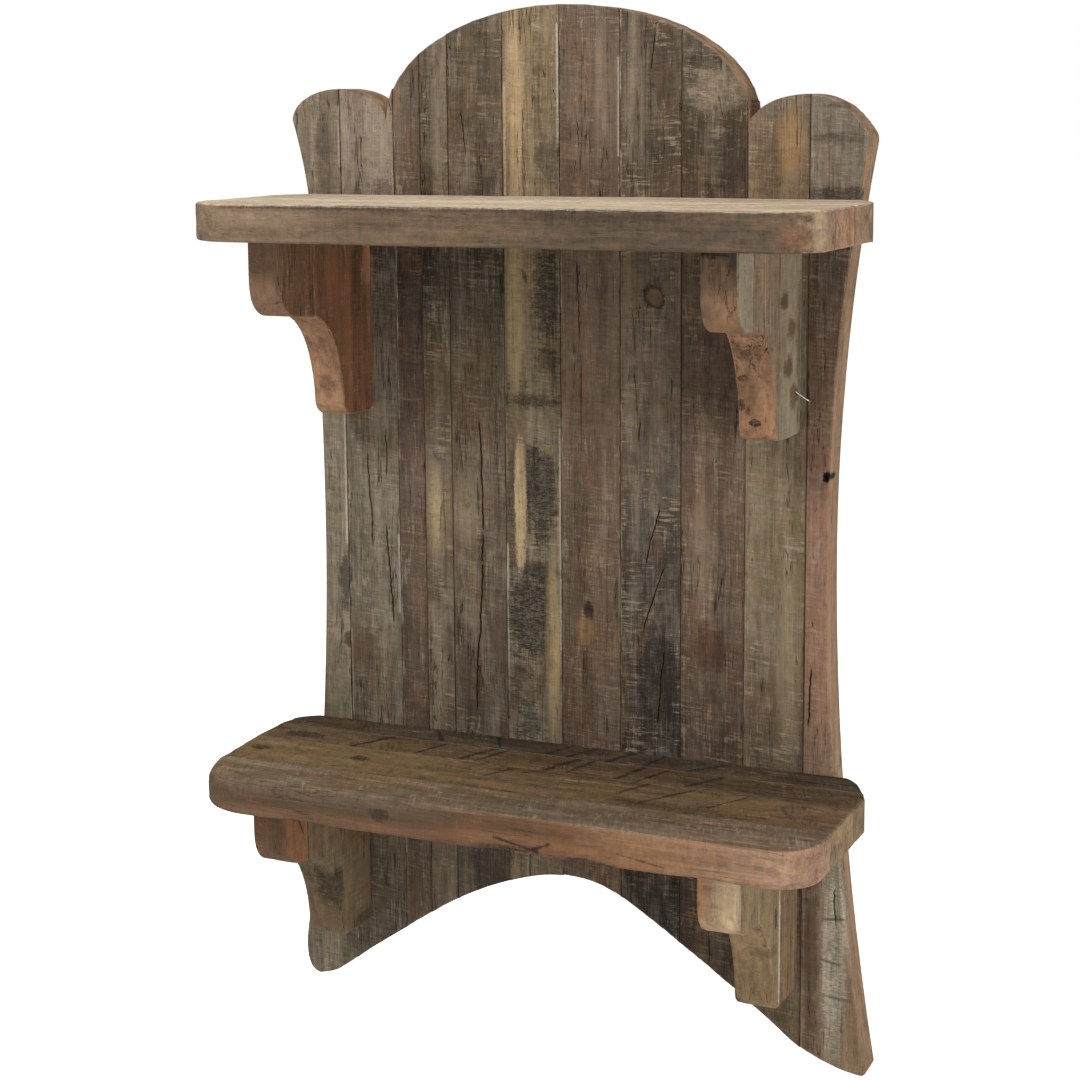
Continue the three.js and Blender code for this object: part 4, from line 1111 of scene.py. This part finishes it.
class SHELF_OT_stage(bpy.types.Operator):
    """Set up the floor, the studio lights and the camera"""
    bl_idname = "wall_shelf.stage"
    bl_label = "Stage"

    def execute(self, context):
        settings = context.scene.wall_shelf_stage
        scene = context.scene
        scene.view_settings.view_transform = "Standard"
        bpy.ops.object.select_all(action="DESELECT")
        low = CAD_BOX[0][2]
        bpy.ops.mesh.primitive_circle_add(
            vertices=64, radius=FLOOR_RADIUS, fill_type="NGON", location=(0, 0, low - FLOOR_DROP))
        floor = context.object
        floor.name = "floor"
        finish = bpy.data.materials.new("matt white paper")
        finish.use_nodes = True
        paper = finish.node_tree
        shader = paper.nodes["Principled BSDF"]
        shader.inputs["Base Color"].default_value = (*settings.floor, 1)
        shader.inputs["Roughness"].default_value = 0.9
        shader.inputs["Emission Color"].default_value = (1, 1, 1, 1)
        seen = add(paper, "ShaderNodeLightPath").outputs["Is Camera Ray"]
        glow = add(paper, "ShaderNodeMapRange", {
            "Value": seen, "To Min": settings.table, "To Max": FLOOR_GLOW,
        })
        paper.links.new(glow.outputs["Result"], shader.inputs["Emission Strength"])
        paint(floor, finish)

        world = bpy.data.worlds.new("studio")
        scene.world = world
        world.use_nodes = True
        tree = world.node_tree
        tree.nodes.clear()
        seen = add(tree, "ShaderNodeLightPath").outputs["Is Camera Ray"]
        strength = add(tree, "ShaderNodeMapRange", {"Value": seen, "To Min": settings.dome, "To Max": 1.0})
        sky = add(tree, "ShaderNodeBackground", {
            "Color": (1, 1, 1, 1), "Strength": strength.outputs["Result"],
        })
        add(tree, "ShaderNodeOutputWorld", {"Surface": sky.outputs["Background"]})

        target = Vector(LIGHTS_AIM)
        for name, power, size, place in (
            ("key softbox", settings.key, 0.6, (-0.9, -1.9, 1.5)),
            ("top softbox", settings.top, 0.9, (0.2, -0.75, 1.7)),
            ("side softbox", settings.side, 1.0, (2.2, -0.9, -0.3)),
        ):
            lamp = bpy.data.lights.new(name, "AREA")
            lamp.shape = "SQUARE"
            lamp.size = size
            lamp.energy = power
            light = bpy.data.objects.new(name, lamp)
            light.location = place
            light.rotation_euler = (target - Vector(place)).to_track_quat("-Z", "Y").to_euler()
            light.visible_camera = False
            scene.collection.objects.link(light)

        data = bpy.data.cameras.new("camera")
        data.lens = settings.lens / MM
        data.sensor_width = SENSOR_WIDTH
        data.shift_y = CAMERA_SHIFT
        data.clip_end = VIEW_END
        camera = bpy.data.objects.new("camera", data)
        yaw, pitch, roll = (math.radians(a) for a in CAMERA_TURN)
        camera.matrix_world = (
            Matrix.Translation(CAMERA_PLACE) @ Matrix.Rotation(yaw, 4, "Z")
            @ Matrix.Rotation(math.pi / 2 - pitch, 4, "X") @ Matrix.Rotation(-roll, 4, "Z")
        )
        scene.collection.objects.link(camera)
        scene.camera = camera
        return {"FINISHED"}


class SHELF_PT_panel(bpy.types.Panel):
    """Lists the pieces of the wall shelf in the order they are made"""
    bl_idname = "SHELF_PT_panel"
    bl_label = "Wall shelf"
    bl_space_type = "VIEW_3D"
    bl_region_type = "UI"
    bl_category = "Wall shelf"

    def draw(self, context):
        for operator in OPERATORS:
            self.layout.operator(operator.bl_idname)
        for name in SETTINGS:
            box = self.layout.box()
            group = getattr(context.scene, name)
            for key in group.bl_rna.properties.keys():
                if key not in {"rna_type", "name"}:
                    box.prop(group, key)


SETTINGS = {
    "wall_shelf_board": BoardSettings,
    "wall_shelf_shelves": ShelfSettings,
    "wall_shelf_brackets": BracketSettings,
    "wall_shelf_stage": StageSettings,
}
OPERATORS = (SHELF_OT_stage, SHELF_OT_board, SHELF_OT_shelves, SHELF_OT_brackets, SHELF_OT_fixings)


def register():
    for cls in (*SETTINGS.values(), *OPERATORS, SHELF_PT_panel):
        bpy.utils.register_class(cls)
    for name, cls in SETTINGS.items():
        setattr(bpy.types.Scene, name, PointerProperty(type=cls))


def unregister():
    for name in SETTINGS:
        delattr(bpy.types.Scene, name)
    for cls in reversed((*SETTINGS.values(), *OPERATORS, SHELF_PT_panel)):
        bpy.utils.unregister_class(cls)


def main():
    register()
    bpy.ops.wall_shelf.stage()
    bpy.ops.wall_shelf.board()
    bpy.ops.wall_shelf.shelves()
    bpy.ops.wall_shelf.brackets()
    bpy.ops.wall_shelf.fixings()


if __name__ == "__main__":
    main()
